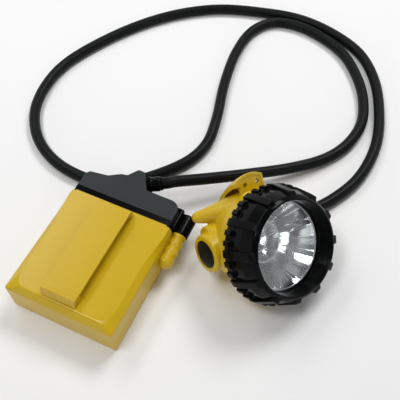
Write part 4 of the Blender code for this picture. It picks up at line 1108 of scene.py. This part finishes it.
    def cover_hollows(self) -> list[Shape]:
        """Draw what is taken from the cover: its inside, the cord's way in and the screw's hole.

        Returns:
            The shapes, in the order in which they are taken.
        """
        hollow = along_y(prism(self.section(self.seal_floor + self.spigot_wall),
                               self.rear - self.spigot - self.wall, self.cover_end - self.cover_wall))
        gland = self.gland()
        bore = moved(cylinder(gland.bore, -self.cover_wall - GAP, self.wall), gland.frame)
        half = gland.bore + self.seal_depth
        pocket = moved(box((-half, -half, -self.pocket), (half, half, -self.cover_wall)), gland.frame)
        inner = gland.frame @ Vector((0.0, 0.0, self.lead_slot - self.pocket))
        slot = moved(cylinder(self.lead_slot, self.cover_end - 2 * self.cover_wall, inner.y, SMALL),
                     frame_of(Vector((inner.x, 0.0, self.gland_height)), (0, 1, 0)))
        seat = self.lug_length - self.screw_seat
        mouth = self.lug_length + self.lug_edge
        hole = turned([(0.0, mouth), (self.screw_head, mouth), (self.screw_head, seat),
                       (self.screw_shank, seat), (self.screw_shank, -self.lug_edge), (0.0, -self.lug_edge)],
                      HIDDEN)
        return [hollow, bore, pocket, slot, moved(hole, self.lock_frame(self.lug_start))]

    def build_cover(self, wardrobe: Wardrobe) -> None:
        """Make the cover: cap and block, sloping strip, lug, spigot, and the hollows behind them.

        Args:
            wardrobe: where the finish comes from.
        """
        cover = to_object("cover_cap", prism(self.cover_outline(), 0.0, self.height))
        soften(cover, self.cover_edge)
        start = self.cover_start - GAP
        strip = self.cover_start + self.strip_length
        above = self.height + self.strip_drop
        wedge = [(start, self.height - self.strip_drop), (strip, self.height), (strip, above), (start, above)]
        shape_with(cover, Cut.TAKE, along_x(prism(wedge, -self.width, self.width)))
        shape_with(cover, Cut.JOIN, self.lug(), self.spigot_ring())
        shape_with(cover, Cut.TAKE, *self.cover_hollows())
        wardrobe.dress(cover, Look.COVER, Body.LAMP, "battery_cover")
        # The lug takes the black nylon as its own colour; the sloping strip takes it as painted shade, the
        # near-black of a face turned from the light
        cover.data.materials.append(wardrobe.material(Look.NYLON))
        side = self.cover_right - self.cover_corner
        for face in cover.data.polygons:
            beside = face.center.x > side and face.center.z < self.height - self.cover_edge
            # sloping marks the strip's faces, whose darker finish is painted shade
            sloping = face.center.y < strip and GAP < self.height - face.center.z < self.strip_drop
            face.material_index = 1 if beside or sloping else 0

    def build(self, wardrobe: Wardrobe) -> None:
        """Make the pack's outer pieces.

        Args:
            wardrobe: where the finish comes from.
        """
        self.build_case(wardrobe)
        self.build_loop(wardrobe)
        self.build_cover(wardrobe)
        self.gland().build(wardrobe, "battery")


@dataclass
class Bezel:
    """The screwed front ring: lip, funnel, ribbed side and toothed rear flange."""

    frame: Matrix
    lip: float = 0.0311
    lip_round: float = 0.0007
    mouth: float = 0.0297
    nose: float = 0.0338
    nose_share: float = 0.4
    waist: float = 0.0375
    bulge: float = 0.0011
    flange: float = 0.0389
    tip: float = 0.0402
    depth: float = 0.0242
    flange_depth: float = 0.0055
    bore: float = 0.0330
    seat: float = 0.0315
    seat_front: float = 0.0113
    seat_back: float = 0.0165
    rib_count: int = 12
    rib_phase: float = math.radians(19.0)
    rib_width: float = 0.0056
    rib_start: float = 0.0022
    rib_front: float = 0.0362
    rib_lead: float = 0.0011
    rib_edge: float = 0.0007
    tooth_width: float = 0.0040
    sunk: float = 0.0008
    segments: int = 256

    def side(self) -> Outline:
        """Draw the ring's outer side.

        Returns:
            Points of (radius, height) from the lip to the flange's back.
        """
        flange = -self.depth + self.flange_depth
        bulge = (self.nose + self.waist) / 2 + self.bulge
        nose = self.lip + self.nose_share * (self.nose - self.lip)
        return [(self.lip, 0.0), (nose, -self.lip_round), (self.nose, -self.rib_start),
                (bulge, (flange - self.rib_start) / 2), (self.waist, flange + GAP), (self.flange, flange),
                (self.flange, -self.depth)]

    def ridge(self, width: float, levels: list[Place]) -> Shape:
        """Return a rounded bar along the ring's side.

        Args:
            width: its width.
            levels: height, outer radius and the radius that it is sunk to.

        Returns:
            The bar at angle zero.
        """
        half = width / 2
        crest = half - self.rib_edge / 3
        rings = []
        for height, top, root in levels:
            line = rounded([(root, -half), (top, -crest), (top, crest), (root, half)], self.rib_edge)
            rings.append([(x, y, height) for x, y in line])
        return loft(rings)

    def build_grips(self, wardrobe: Wardrobe) -> None:
        """Make the ribs and, between them, two teeth on the flange.

        Args:
            wardrobe: where the finish comes from.
        """
        flange = -self.depth + self.flange_depth
        edge = self.rib_edge
        middle = (flange - self.rib_start) / 2
        root = self.waist - self.sunk
        back = [(flange, self.tip, root), (-self.depth + edge / 2, self.tip, root),
                (-self.depth, self.tip - edge / 2, root)]
        rib = self.ridge(self.rib_width, [
            (-self.rib_start + self.rib_lead, self.nose - edge, self.lip),
            (-self.rib_start, self.rib_front - edge / 2, self.lip),
            (-self.rib_start - edge / 2, self.rib_front, self.nose - self.sunk),
            (middle, (self.rib_front + self.tip) / 2, (self.nose + self.waist) / 2 - self.sunk), *back])
        tooth = self.ridge(self.tooth_width, [(flange + edge / 2, self.tip - edge / 2, root), *back])
        nylon = wardrobe.material(Look.NYLON)
        period = 2 * math.pi / self.rib_count
        rings = [ring_of(to_object("ribs", rib), self.rib_count, self.rib_phase, nylon)]
        for share in (1, 2):
            copy = to_object("teeth", tooth.copy())
            rings.append(ring_of(copy, self.rib_count, self.rib_phase + share * period / 3, nylon))
        tooth.free()
        grips = merged("bezel_grips", *rings)
        grips.data.transform(self.frame)
        wardrobe.dress(grips, Look.NYLON, Body.BEZEL)

    def build(self, wardrobe: Wardrobe) -> None:
        """Make the ring and its grips.

        Args:
            wardrobe: where the finish comes from.
        """
        inside = [(self.bore, -self.depth), (self.bore, -self.seat_back), (self.seat, -self.seat_back),
                  (self.seat, -self.seat_front), (self.mouth, -self.seat_front),
                  (self.lip - self.lip_round, -self.lip_round)]
        line = rounded([*self.side(), *inside], self.lip_round, closed=True)
        ring = to_object("bezel_body", moved(turned(line, self.segments), self.frame))
        wardrobe.dress(ring, Look.NYLON, Body.BEZEL, "bezel_ring")
        self.build_grips(wardrobe)


@dataclass
class Optics:
    """The clear window and the bright reflector behind it."""

    frame: Matrix
    lens_radius: float = 0.0312
    lens_front: float = 0.0116
    lens_back: float = 0.0146
    lens_edge: float = 0.0003
    front: float = 0.0150
    lip: float = 0.0296
    lip_depth: float = 0.0025
    wall: float = 0.0012
    step: float = 0.0140
    step_depth: float = 0.0355
    ledge: float = 0.0007
    inner: float = 0.0075
    inner_depth: float = 0.0410
    throat: float = 0.0044
    depth: float = 0.0440
    steps: int = 20
    segments: int = 288
    flare: float = 0.3
    ripple: float = 0.05
    ripples: tuple[int, ...] = (7, 13, 23, 37, 59)
    bead: float = 0.0005
    bead_turn: float = 345.0
    bead_steps: int = 23

    def bowl(self, low: Pair, high: Pair) -> Outline:
        """Draw a dish's side: a cone that flares a little at its mouth.

        Args:
            low: radius and depth of its floor.
            high: radius and depth of its mouth.

        Returns:
            Points of (radius, height).
        """
        line = []
        for step in range(self.steps + 1):
            share = step / self.steps
            cone = low[0] + (high[0] - low[0]) * share
            dish = math.sqrt(low[0] ** 2 + (high[0] ** 2 - low[0] ** 2) * share)
            line.append((cone + self.flare * (cone - dish), -low[1] + (low[1] - high[1]) * share))
        return line

    def ring(self, radius: float, height: float, ripple: float) -> list[Place]:
        """Draw one ring of the reflector, whose coated face ripples a little round the beam.

        Args:
            radius: the ring's mean radius.
            height: its height.
            ripple: the ripple's share of the radius.

        Returns:
            The ring's points.
        """
        points = []
        for index in range(self.segments):
            angle = 2 * math.pi * index / self.segments
            wave = sum(math.sin(count * angle + count) / count for count in self.ripples)
            reach = radius * (1 + ripple * wave)
            points.append((reach * math.cos(angle), reach * math.sin(angle), height))
        return points

    def build(self, wardrobe: Wardrobe) -> None:
        """Make the lens and the reflector.

        Args:
            wardrobe: where the finish comes from.
        """
        edge = self.lens_edge
        radius = self.lens_radius
        disc = turned([(0.0, -self.lens_front), (radius - edge, -self.lens_front),
                       (radius, -self.lens_front - edge), (radius, -self.lens_back + edge),
                       (radius - edge, -self.lens_back), (0.0, -self.lens_back)], self.segments)
        lens = to_object("window_disc", moved(disc, self.frame))
        wardrobe.dress(lens, Look.CLEAR, Body.WINDOW, "lens")
        self.build_reflector(wardrobe)

    def build_reflector(self, wardrobe: Wardrobe) -> None:
        """Make the rippled dish in two steps, and the beads along its edges.

        Args:
            wardrobe: where the finish comes from.
        """
        rim = self.lip - self.wall
        outer = self.bowl((self.step, self.step_depth), (rim, self.front))
        inner = self.bowl((self.inner, self.inner_depth), (self.step - self.ledge, self.step_depth))
        back = [(radius + self.wall, height - self.wall / 2) for radius, height in reversed([*inner, *outer])
                if height < -self.front - self.lip_depth]
        line = [(self.throat, -self.depth), (self.inner - self.ledge, -self.inner_depth), *inner, *outer]
        rings = [self.ring(radius, height, self.ripple) for radius, height in line]
        rear = [(self.lip, -self.front), (self.lip, -self.front - self.lip_depth), *back,
                (self.throat + self.wall, -self.depth)]
        rings += [self.ring(radius, height, 0.0) for radius, height in rear]
        dish = to_object("reflector_dish", moved(loft(rings, closed=True), self.frame))
        wardrobe.dress(dish, Look.CHROME, Body.LAMP, "reflector")
        beads = []
        edges = ((self.inner, self.inner_depth), (self.step, self.step_depth), (rim, self.front))
        for radius, depth in edges:
            section = arc((radius - self.bead / 2, -depth - self.bead / 2), self.bead, 0, self.bead_turn,
                          self.bead_steps)
            beads.append(moved(turned(section, self.segments), self.frame))
        wardrobe.dress(to_object("reflector_beads", *beads), Look.SATIN, Body.LAMP, "reflector")


@dataclass
class Housing:
    """The yellow lamp housing with hook, spur, switch boss, cord boss and thread collar."""

    frame: Matrix
    # Body
    radius: float = 0.0365
    shoulder: float = 0.0245
    cone_start: float = 0.0280
    cone_rear: float = 0.0100
    crest: float = 0.0362
    band_end: float = 0.0355
    step: float = 0.0008
    rear: float = 0.0312
    depth: float = 0.0600
    bend: float = 0.0050
    wall: float = 0.0028
    low_side: float = -0.0082
    flat: float = 0.0006
    voxel: float = 0.00055
    smoothing: int = 8
    relax: float = 0.5
    round_steps: int = 10
    # Hook
    hook_left: float = 0.0128
    hook_right: float = 0.0115
    hook_plate_left: float = 0.0085
    hook_plate: float = 0.0340
    hook_top: float = 0.0486
    hook_crown: float = 0.0034
    hook_wall: float = 0.0030
    hook_bulge: float = 0.0022
    hook_root: float = 0.0332
    hook_hole: float = 0.0016
    hook_holes: Pair = (-0.0039, 0.0063)
    hook_hole_height: float = 0.0411
    hook_edge: float = 0.0008
    hook_border: float = 0.0022
    hook_border_steps: int = 3
    hook_steps: int = 16
    # Spur
    spur_tip: Place = (-0.0347, 0.0260, -0.0599)
    spur_turn: float = math.radians(34.0)
    spur_length: float = 0.0340
    spur_base: float = 0.0106
    spur_end: float = 0.0040
    spur_open: float = 10.0
    # Switch boss and the cheek beside it
    switch: Place = (-0.0400, 0.0046, -0.0442)
    switch_boss: float = 0.0131
    switch_edge: float = 0.0018
    boss_steps: int = 6
    cheek: Place = (-0.0335, 0.0125, -0.0490)
    cheek_radius: float = 0.0084
    button: float = 0.0096
    button_ledge: float = 0.0057
    carrier: float = 0.0110
    carrier_end: float = 0.0203
    # Cord inlet and its gland
    inlet: Place = (0.0410, 0.0028, -0.0445)
    inlet_radius: float = 0.0074
    gland_root: float = 0.0060
    gland_tip: float = 0.0052
    gland_length: float = 0.0088
    # Thread collar
    collar: float = 0.0326
    collar_bore: float = 0.0299
    collar_start: float = 0.0168
    groove: Pair = (0.0190, 0.0212)
    groove_depth: float = 0.0016
    pitch: float = 0.0020
    thread: float = 0.0004
    thread_steps: int = 12
    cone_inside: float = 0.0481
    segments: int = 128

    def switch_frame(self) -> Matrix:
        """Return the switch's frame: origin on the boss's face, Z running into the housing."""
        return frame_of(Vector(self.switch), (1, 0, 0))

    def inlet_frame(self) -> Matrix:
        """Return the cord inlet's frame at the boss's outer face."""
        return frame_of(Vector(self.inlet), (1, 0, 0))

    def gland(self) -> Gland:
        """Return the cord gland on the head."""
        return Gland(self.frame @ self.inlet_frame(), self.gland_root, self.gland_tip, self.gland_length)

    def floor(self, height: float) -> Shape:
        """Draw a slab under the head.

        Args:
            height: where it ends, above the floor.

        Returns:
            The slab in the head's frame.
        """
        reach = 2 * self.depth
        x, y, _ = self.frame.translation
        slab = box((x - reach, y - reach, -reach), (x + reach, y + reach, height))
        return moved(slab, self.frame.inverted())

    def hook_section(self, x: float) -> list[Place]:
        """Draw one section of the hook: the plate and the arched roof that runs back from it.

        Args:
            x: the section's place.

        Returns:
            Its points.
        """
        fall = self.hook_crown * (x / self.hook_right) ** 2
        start = Vector((self.hook_top - fall, -self.hook_plate))
        end = Vector((self.hook_root - fall, -self.depth))
        out = Vector((start.y - end.y, end.x - start.x)).normalized()
        roof = []
        for step in range(self.hook_steps + 1):
            share = step / self.hook_steps
            roof.append(start.lerp(end, share) + out * self.hook_bulge * 4 * share * (1 - share))
        back = -self.hook_plate - self.hook_wall
        under = [point - out * self.hook_wall for point in roof[1:-1]]
        under = [point for point in under if point.y < back - GAP]
        while len(under) < self.hook_steps - 1:
            under.insert(0, under[0].lerp(Vector((under[0].x, back - GAP)), 0.5))
        root = self.radius - 2 * self.hook_wall
        ceiling = start.x - self.hook_wall - self.hook_edge
        line = [(root, -self.hook_plate), *roof, (end.x - 2 * self.hook_wall, -self.depth + self.bend),
                *reversed(under), (ceiling, back), (root, back)]
        return [(x, y, z) for y, z in line]

    def hook(self) -> Shape:
        """Draw the hook without its holes: arched sections, with the plate drawn in at one side.

        Returns:
            The hook.
        """
        span = self.hook_left + self.hook_right
        sections = [self.hook_section(-self.hook_left + span * step / self.hook_steps)
                    for step in range(self.hook_steps + 1)]
        hook = to_object("hook", loft(sections))
        edge = box((-2 * self.hook_left, 0.0, -self.hook_plate - self.hook_wall - GAP),
                   (-self.hook_plate_left, self.hook_hole_height, -self.hook_plate + self.hook_wall))
        shape_with(hook, Cut.TAKE, edge)
        return to_shape(hook)

    def hook_face(self) -> Shape:
        """Draw the shallow recess in the hook's plate, which leaves a raised border.

        Returns:
            The recess.
        """
        border = self.hook_border
        left = -self.hook_plate_left + border
        span = self.hook_right - border - left
        top = []
        for step in range(self.hook_steps + 1):
            x = left + span * step / self.hook_steps
            top.append((x, self.hook_top - border - self.hook_crown * (x / self.hook_right) ** 2))
        line = rounded([(left, self.radius), *top, (left + span, self.radius)], border / 2,
                       self.hook_border_steps, closed=True)
        return prism(line, -self.hook_plate - self.hook_edge / 2, -self.hook_plate + self.hook_wall)

    def spur(self) -> Shape:
        """Draw the tapered spur with both ends rounded.

        Returns:
            The spur.
        """
        axis = Vector((-math.cos(self.spur_turn), 0.0, -math.sin(self.spur_turn)))
        tip = arc((0.0, self.spur_length - self.spur_end), self.spur_end, 90, self.spur_open,
                  self.round_steps)
        base = arc((0.0, 0.0), self.spur_base, 0, -90, self.round_steps)
        line = [(0.0, self.spur_length), *tip[1:], *base[:-1], (0.0, -self.spur_base)]
        origin = Vector(self.spur_tip) - axis * self.spur_length
        return moved(turned(line, ROUND), frame_of(origin, axis, (0, 1, 0)))

    def boss(self, radius: float, length: float, edge: float) -> Shape:
        """Return a round boss along Z with a rounded rim at its start."""
        line = rounded([(0.0, 0.0), (radius, 0.0), (radius, length), (0.0, length)], edge, self.boss_steps)
        return turned(line, ROUND)

    def upper(self) -> Shape:
        """Draw the fuller upper part of the housing, cut level with the switch boss.

        Returns:
            The upper part.
        """
        rear = arc((self.rear - self.bend, -self.depth + self.bend), self.bend, 0, -90, self.round_steps)
        start = self.shoulder + GAP
        line = [(0.0, -start), (self.crest, -start), (self.crest, -self.band_end),
                (self.crest - self.step, -self.band_end - self.step), *rear, (0.0, -self.depth)]
        crest = to_object("crest", turned(line, self.segments))
        reach = 2 * self.depth
        shape_with(crest, Cut.TAKE, box((-reach, -reach, -reach), (reach, self.low_side, reach)))
        return to_shape(crest)

    def room(self) -> Shape:
        """Draw the room inside the upper part.

        Returns:
            The room, one wall away from the outside.
        """
        wall = self.wall
        back = self.depth - wall
        mouth = self.collar_bore - GAP
        room = to_object("room", turned([
            (0.0, -self.shoulder + wall), (mouth, -self.shoulder + wall), (mouth, -self.shoulder - wall),
            (self.crest - self.step - wall, -self.band_end - self.step), (self.rear - 2 * wall, -back + wall),
            (self.rear - 3 * wall, -back), (0.0, -back)], self.segments))
        reach = 2 * self.depth
        low = box((-reach, -reach, -reach), (reach, self.low_side + wall, reach))
        shape_with(room, Cut.TAKE, low, self.floor(self.flat + wall))
        return to_shape(room)

    def cone_room(self) -> Shape:
        """Draw the room inside the cone, behind the reflector.

        Returns:
            The room, one wall away from the cone.
        """
        wall = self.wall
        slope = (self.radius - self.cone_rear) / (self.depth - wall - self.cone_start)
        across = wall * math.sqrt(1.0 + slope * slope)
        bore_end = self.cone_start + (self.radius - across - self.collar_bore) / slope
        low_radius = self.radius - across - slope * (self.cone_inside - self.cone_start)
        return turned([(0.0, -self.shoulder + wall), (self.collar_bore, -self.shoulder + wall),
                       (self.collar_bore, -bore_end), (low_radius, -self.cone_inside),
                       (0.0, -self.cone_inside)], self.segments)

    def hollows(self) -> list[Shape]:
        """Draw what is taken from the housing: its inside, the bores, the hook's holes and the flat.

        Returns:
            The shapes, in the order in which they are taken.
        """
        switch = turned([(0.0, -self.switch_boss), (self.button, -self.switch_boss),
                         (self.button, self.button_ledge), (self.carrier, self.button_ledge),
                         (self.carrier, self.carrier_end), (0.0, self.carrier_end)], FINE)
        cord = cylinder(self.gland().bore, self.inlet[0] / -2, self.inlet_radius)
        holes = [moved(cylinder(self.hook_hole, -self.hook_plate - 2 * self.hook_wall,
                                -self.hook_plate + self.hook_wall, SMALL),
                       Matrix.Translation((x, self.hook_hole_height, 0.0))) for x in self.hook_holes]
        return [self.floor(self.flat), self.room(), self.cone_room(), moved(switch, self.switch_frame()),
                moved(cord, self.inlet_frame()), *holes, self.hook_face()]

    def build_body(self, wardrobe: Wardrobe) -> None:
        """Make the housing behind the bezel: its forms run into each other with moulded fillets.

        Args:
            wardrobe: where the finish comes from.
        """
        back = -self.depth + self.wall
        cone = turned([(0.0, -self.shoulder), (self.radius, -self.shoulder), (self.radius, -self.cone_start),
                       (self.cone_rear, back), (0.0, back)], self.segments)
        switch = moved(self.boss(self.switch_boss, -self.switch[0] / 2, self.switch_edge),
                       self.switch_frame())
        cheek = moved(self.boss(self.cheek_radius, -self.cheek[0] / 2, self.switch_edge),
                      frame_of(Vector(self.cheek), (1, 0, 0)))
        turned_round = self.inlet_frame() @ Matrix.Rotation(math.pi, 4, "X")
        inlet = moved(self.boss(self.inlet_radius, self.inlet[0] / 2, self.hook_edge), turned_round)
        body = to_object("housing_shell", cone, self.upper(), switch, cheek, inlet, self.hook(), self.spur())
        skin = body.modifiers.new("skin", "REMESH")
        skin.mode = "VOXEL"
        skin.voxel_size = self.voxel
        settle(body)
        relax = body.modifiers.new("relax", "SMOOTH")
        relax.factor = self.relax
        relax.iterations = self.smoothing
        settle(body)
        shape_with(body, Cut.TAKE, *self.hollows())
        body.data.transform(self.frame)
        wardrobe.dress(body, Look.YELLOW, Body.LAMP, "lamp_housing")

    def build_collar(self, wardrobe: Wardrobe) -> None:
        """Make the threaded collar that the bezel screws onto, with its seal groove.

        Args:
            wardrobe: where the finish comes from.
        """
        count = self.segments
        fine = self.pitch / self.thread_steps
        end = self.shoulder + GAP
        steps = round((end - self.collar_start) / fine)
        levels = [self.collar_start + fine * step for step in range(steps + 1)]
        rings = [[(self.collar_bore * math.cos(2 * math.pi * i / count),
                   self.collar_bore * math.sin(2 * math.pi * i / count), -self.collar_start)
                  for i in range(count)]]
        for level in levels:
            ring = []
            for index in range(count):
                turn = index / count
                wave = abs(((level / self.pitch + turn) % 1.0) - 0.5) * 2
                radius = self.collar - self.thread * (1 - wave)
                if self.groove[0] <= level <= self.groove[1]:
                    radius = self.collar - self.groove_depth
                angle = 2 * math.pi * turn
                ring.append((radius * math.cos(angle), radius * math.sin(angle), -level))
            rings.append(ring)
        rings.append([(x, y, -end) for x, y, _ in rings[0]])
        collar = to_object("housing_thread", moved(loft(rings, closed=True), self.frame))
        wardrobe.dress(collar, Look.YELLOW, Body.LAMP, "lamp_housing")

    def build(self, wardrobe: Wardrobe) -> None:
        """Make the housing's pieces and its gland.

        Args:
            wardrobe: where the finish comes from.
        """
        self.build_body(wardrobe)
        self.build_collar(wardrobe)
        self.gland().build(wardrobe, "head")


@dataclass
class Button:
    """The push button in the switch boss: a domed cap on a skirt with a flange and a stem."""

    frame: Matrix
    radius: float = 0.0093
    crown: float = 0.0009
    edge: float = 0.0006
    skirt: float = 0.0054
    flange: float = 0.0107
    flange_end: float = 0.0066
    stem: float = 0.0030
    stem_end: float = 0.0099
    steps: int = 12
    crown_power: int = 4

    def build(self, wardrobe: Wardrobe) -> None:
        """Make the button.

        Args:
            wardrobe: where the finish comes from.
        """
        crown = []
        for step in range(self.steps + 1):
            share = step / self.steps
            crown.append(((self.radius - self.edge) * share, -self.crown * (1 - share ** self.crown_power)))
        under = self.skirt + 2 * GAP
        line = [*crown, (self.radius, self.edge), (self.radius, under), (self.flange, under),
                (self.flange, self.flange_end), (self.stem, self.flange_end), (self.stem, self.stem_end),
                (0.0, self.stem_end)]
        cap = to_object("button_cap", moved(turned(line, FINE), self.frame))
        wardrobe.dress(cap, Look.RUBBER, Body.BUTTON, "switch_button")


CARRIED_OVER = {
    Look.RUBBER: ("battery_cord_tail", "head_cord_tail", "cover_seal", "lens_gasket", "bezel_seal"),
    Look.BRASS: ("battery_cord_collar", "head_cord_collar", "lock_insert"),
    Look.STEEL: ("cover_lock_screw",),
    Look.NICKEL: ("bus_strip_front", "bus_strip_rear"),
    Look.FOAM: ("cell_pad_front", "cell_pad_rear", "cell_pad_lower", "cell_pad_upper"),
    Look.WRAP: ("cell_1", "cell_2", "cell_3", "cell_4"),
    Look.MASK: ("protection_board", "driver_board"),
    Look.NYLON: ("switch_carrier", "switch_body"),
    Look.ALUMINIUM: ("heat_sink",),
    Look.WHITE: ("led_board",),
    Look.PHOSPHOR: ("led_emitter",),
}


@dataclass(frozen=True)
class Panel:
    """A soft light panel of the studio: its power is in watts."""

    name: str
    place: Place
    size: Pair
    power: float
    aim: Place = (0.05, 0.10, 0.02)

    def hang(self) -> None:
        """Hang the panel and turn it to its aim."""
        data = bpy.data.lights.new(self.name, "AREA")
        data.shape = "RECTANGLE"
        data.size, data.size_y = self.size
        data.energy = self.power
        panel = in_scene(self.name, data)
        panel.location = self.place
        ahead = Vector(self.aim) - Vector(self.place)
        panel.rotation_euler = ahead.to_track_quat("-Z", "Y").to_euler()


@dataclass
class Studio:
    """The camera, the light, the floor and the room round them."""

    # Camera
    camera_place: Place = (0.14309, -0.13308, 0.36691)
    pitch: float = 0.9835
    roll: float = -0.0079
    yaw: float = -0.4412
    lens: float = 52.64
    sensor: float = 36.0
    clip: float = 0.01
    # Floor: the horizon is where it starts and ends to fade into the room
    floor_size: float = 12.0
    floor_drop: float = 0.0002
    floor_colour: str = "F6F6F6"
    floor_roughness: float = 0.75
    horizon: Pair = (0.36, 0.80)
    # Light
    panels: tuple[Panel, ...] = (
        Panel("key", (0.20, 0.80, 1.05), (0.55, 0.40), 7.5),
        Panel("sheen", (-0.72, 0.45, 1.05), (0.34, 0.90), 5.3, aim=(-0.72, 0.45, 0.0)),
        Panel("front", (-0.22, -0.28, 1.12), (0.36, 0.30), 4.2),
        Panel("strip", (1.00, -0.20, 0.90), (0.20, 0.60), 1.4))
    # Room: directions between which a wall starts and ends, and the strength of what they show
    room_colour: str = "F8F8F8"
    wall_side: Pair = (0.30, 0.85)
    wall_top: Pair = (0.55, 0.20)
    wall_light: float = 1.00
    wall_dim: float = 0.30
    room_top: Pair = (0.70, 0.35)
    ceiling_light: float = 0.06
    ceiling_gloss: float = 0.24
    ceiling_bands: Place = (12.0, 5.0, 0.0)

    def build_camera(self) -> None:
        """Set the camera where the photograph was taken from."""
        level = math.cos(self.pitch)
        ahead = Vector((math.sin(self.yaw) * level, math.cos(self.yaw) * level, -math.sin(self.pitch)))
        right = Vector((math.cos(self.yaw), -math.sin(self.yaw), 0.0))
        up = right.cross(ahead)
        across = math.cos(self.roll) * right + math.sin(self.roll) * up
        upright = math.cos(self.roll) * up - math.sin(self.roll) * right
        data = bpy.data.cameras.new("camera")
        data.lens = self.lens
        data.sensor_width = self.sensor
        data.clip_start = self.clip
        camera = in_scene("camera", data)
        turn = Matrix((across, upright, -ahead)).transposed().to_4x4()
        camera.matrix_world = Matrix.Translation(self.camera_place) @ turn
        bpy.context.scene.camera = camera

    def shown_to(self, tree: bpy.types.NodeTree) -> bpy.types.NodeSocket:
        """Make a socket that is one for the rays that show the background: the view, metal and glass.

        Args:
            tree: the node tree that asks.

        Returns:
            The socket.
        """
        path = add_node(tree, "ShaderNodeLightPath").outputs
        mirrored = add_node(tree, "ShaderNodeMath",
                            {0: path["Is Glossy Ray"], 1: path["Is Transmission Ray"]}, operation="MAXIMUM")
        shown = add_node(tree, "ShaderNodeMath",
                         {0: mirrored.outputs[0], 1: path["Is Camera Ray"]}, operation="MAXIMUM")
        return shown.outputs[0]

    def build_floor(self) -> None:
        """Lay the white paper that the lamp lies on; far from the lamp it fades into the white room."""
        half = self.floor_size / 2
        floor = to_object("floor", box((-half, -half, -half), (half, half, -self.floor_drop)))
        paper = bpy.data.materials.new("white paper")
        paper.use_nodes = True
        tree = paper.node_tree
        shader = tree.nodes["Principled BSDF"]
        shader.inputs["Base Color"].default_value = linear(self.floor_colour)
        shader.inputs["Roughness"].default_value = self.floor_roughness
        place = add_node(tree, "ShaderNodeTexCoord").outputs["Object"]
        reach = add_node(tree, "ShaderNodeVectorMath", {0: place}, operation="LENGTH")
        away = add_node(tree, "ShaderNodeMapRange",
                        {"Value": reach.outputs["Value"], "From Min": self.horizon[0],
                         "From Max": self.horizon[1]}, interpolation_type="SMOOTHSTEP")
        fade = add_node(tree, "ShaderNodeMath",
                        {0: away.outputs["Result"], 1: self.shown_to(tree)}, operation="MULTIPLY")
        room = add_node(tree, "ShaderNodeEmission", {"Color": linear(self.room_colour), "Strength": 1.0})
        blend = add_node(tree, "ShaderNodeMixShader",
                         {0: fade.outputs[0], 1: shader.outputs["BSDF"], 2: room.outputs["Emission"]})
        tree.links.new(blend.outputs["Shader"], tree.nodes["Material Output"].inputs["Surface"])
        floor.data.materials.append(paper)

    def build_room(self) -> None:
        """Put a room round the lamp."""
        world = bpy.data.worlds.new("studio")
        bpy.context.scene.world = world
        world.use_nodes = True
        tree = world.node_tree
        directions = add_node(tree, "ShaderNodeTexCoord").outputs["Generated"]
        way = add_node(tree, "ShaderNodeSeparateXYZ", {"Vector": directions}).outputs
        # Matt pieces are lit by a dim ceiling and walls, and by one pale wall before the lamp
        ahead = add_node(tree, "ShaderNodeMath", {0: way["Y"], 1: -1.0}, operation="MULTIPLY")
        pale = add_node(tree, "ShaderNodeMapRange",
                        {"Value": ahead.outputs[0], "From Min": self.wall_side[0],
                         "From Max": self.wall_side[1], "To Min": self.wall_dim, "To Max": self.wall_light},
                        interpolation_type="SMOOTHSTEP")
        low = add_node(tree, "ShaderNodeMapRange",
                       {"Value": way["Z"], "From Min": self.wall_top[0], "From Max": self.wall_top[1]},
                       interpolation_type="SMOOTHSTEP")
        wall = add_node(tree, "ShaderNodeMath",
                        {0: pale.outputs["Result"], 1: low.outputs["Result"], 2: self.ceiling_light},
                        operation="MULTIPLY_ADD")
        # The view, metal and glass show white walls under a ceiling of dim bands
        bands = add_node(tree, "ShaderNodeVectorMath", {0: directions, 1: self.ceiling_bands},
                         operation="DOT_PRODUCT")
        wave = add_node(tree, "ShaderNodeMath", {0: bands.outputs["Value"]}, operation="SINE")
        ceiling = add_node(tree, "ShaderNodeMapRange",
                           {"Value": wave.outputs[0], "From Min": -1.0, "To Min": self.ceiling_light,
                            "To Max": self.ceiling_gloss})
        white = add_node(tree, "ShaderNodeMapRange",
                         {"Value": way["Z"], "From Min": self.room_top[0], "From Max": self.room_top[1]},
                         interpolation_type="SMOOTHSTEP")
        room = add_node(tree, "ShaderNodeMix",
                        {"Factor": white.outputs["Result"], "A": ceiling.outputs["Result"], "B": 1.0},
                        data_type="FLOAT")
        shown = add_node(tree, "ShaderNodeMix",
                         {"Factor": self.shown_to(tree), "A": wall.outputs[0], "B": room.outputs[0]},
                         data_type="FLOAT")
        backdrop = tree.nodes["Background"]
        backdrop.inputs["Color"].default_value = linear(self.room_colour)
        tree.links.new(shown.outputs[0], backdrop.inputs["Strength"])

    def build(self) -> None:
        """Lay the floor, hang the lights and set the view."""
        self.build_floor()
        for panel in self.panels:
            panel.hang()
        self.build_room()
        bpy.context.scene.view_settings.view_transform = "Standard"


def main() -> None:
    """Build the camera and cord, then the pack, the head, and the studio."""
    logging.basicConfig(level=logging.INFO, format="%(message)s")
    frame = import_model()
    wardrobe = Wardrobe()
    head = HeadPlace().matrix()
    pack = BatteryPack()
    housing = Housing(head)
    studio = Studio()
    studio.build_camera()
    Cord().build(wardrobe, pack.gland(), housing.gland())
    pack.build(wardrobe)
    housing.build(wardrobe)
    Bezel(head).build(wardrobe)
    Optics(head).build(wardrobe)
    Button(head @ housing.switch_frame()).build(wardrobe)
    for look, names in CARRIED_OVER.items():
        for name in names:
            wardrobe.dress_node(frame["nodes"][name], look)
    studio.build()


if __name__ == "__main__":
    main()
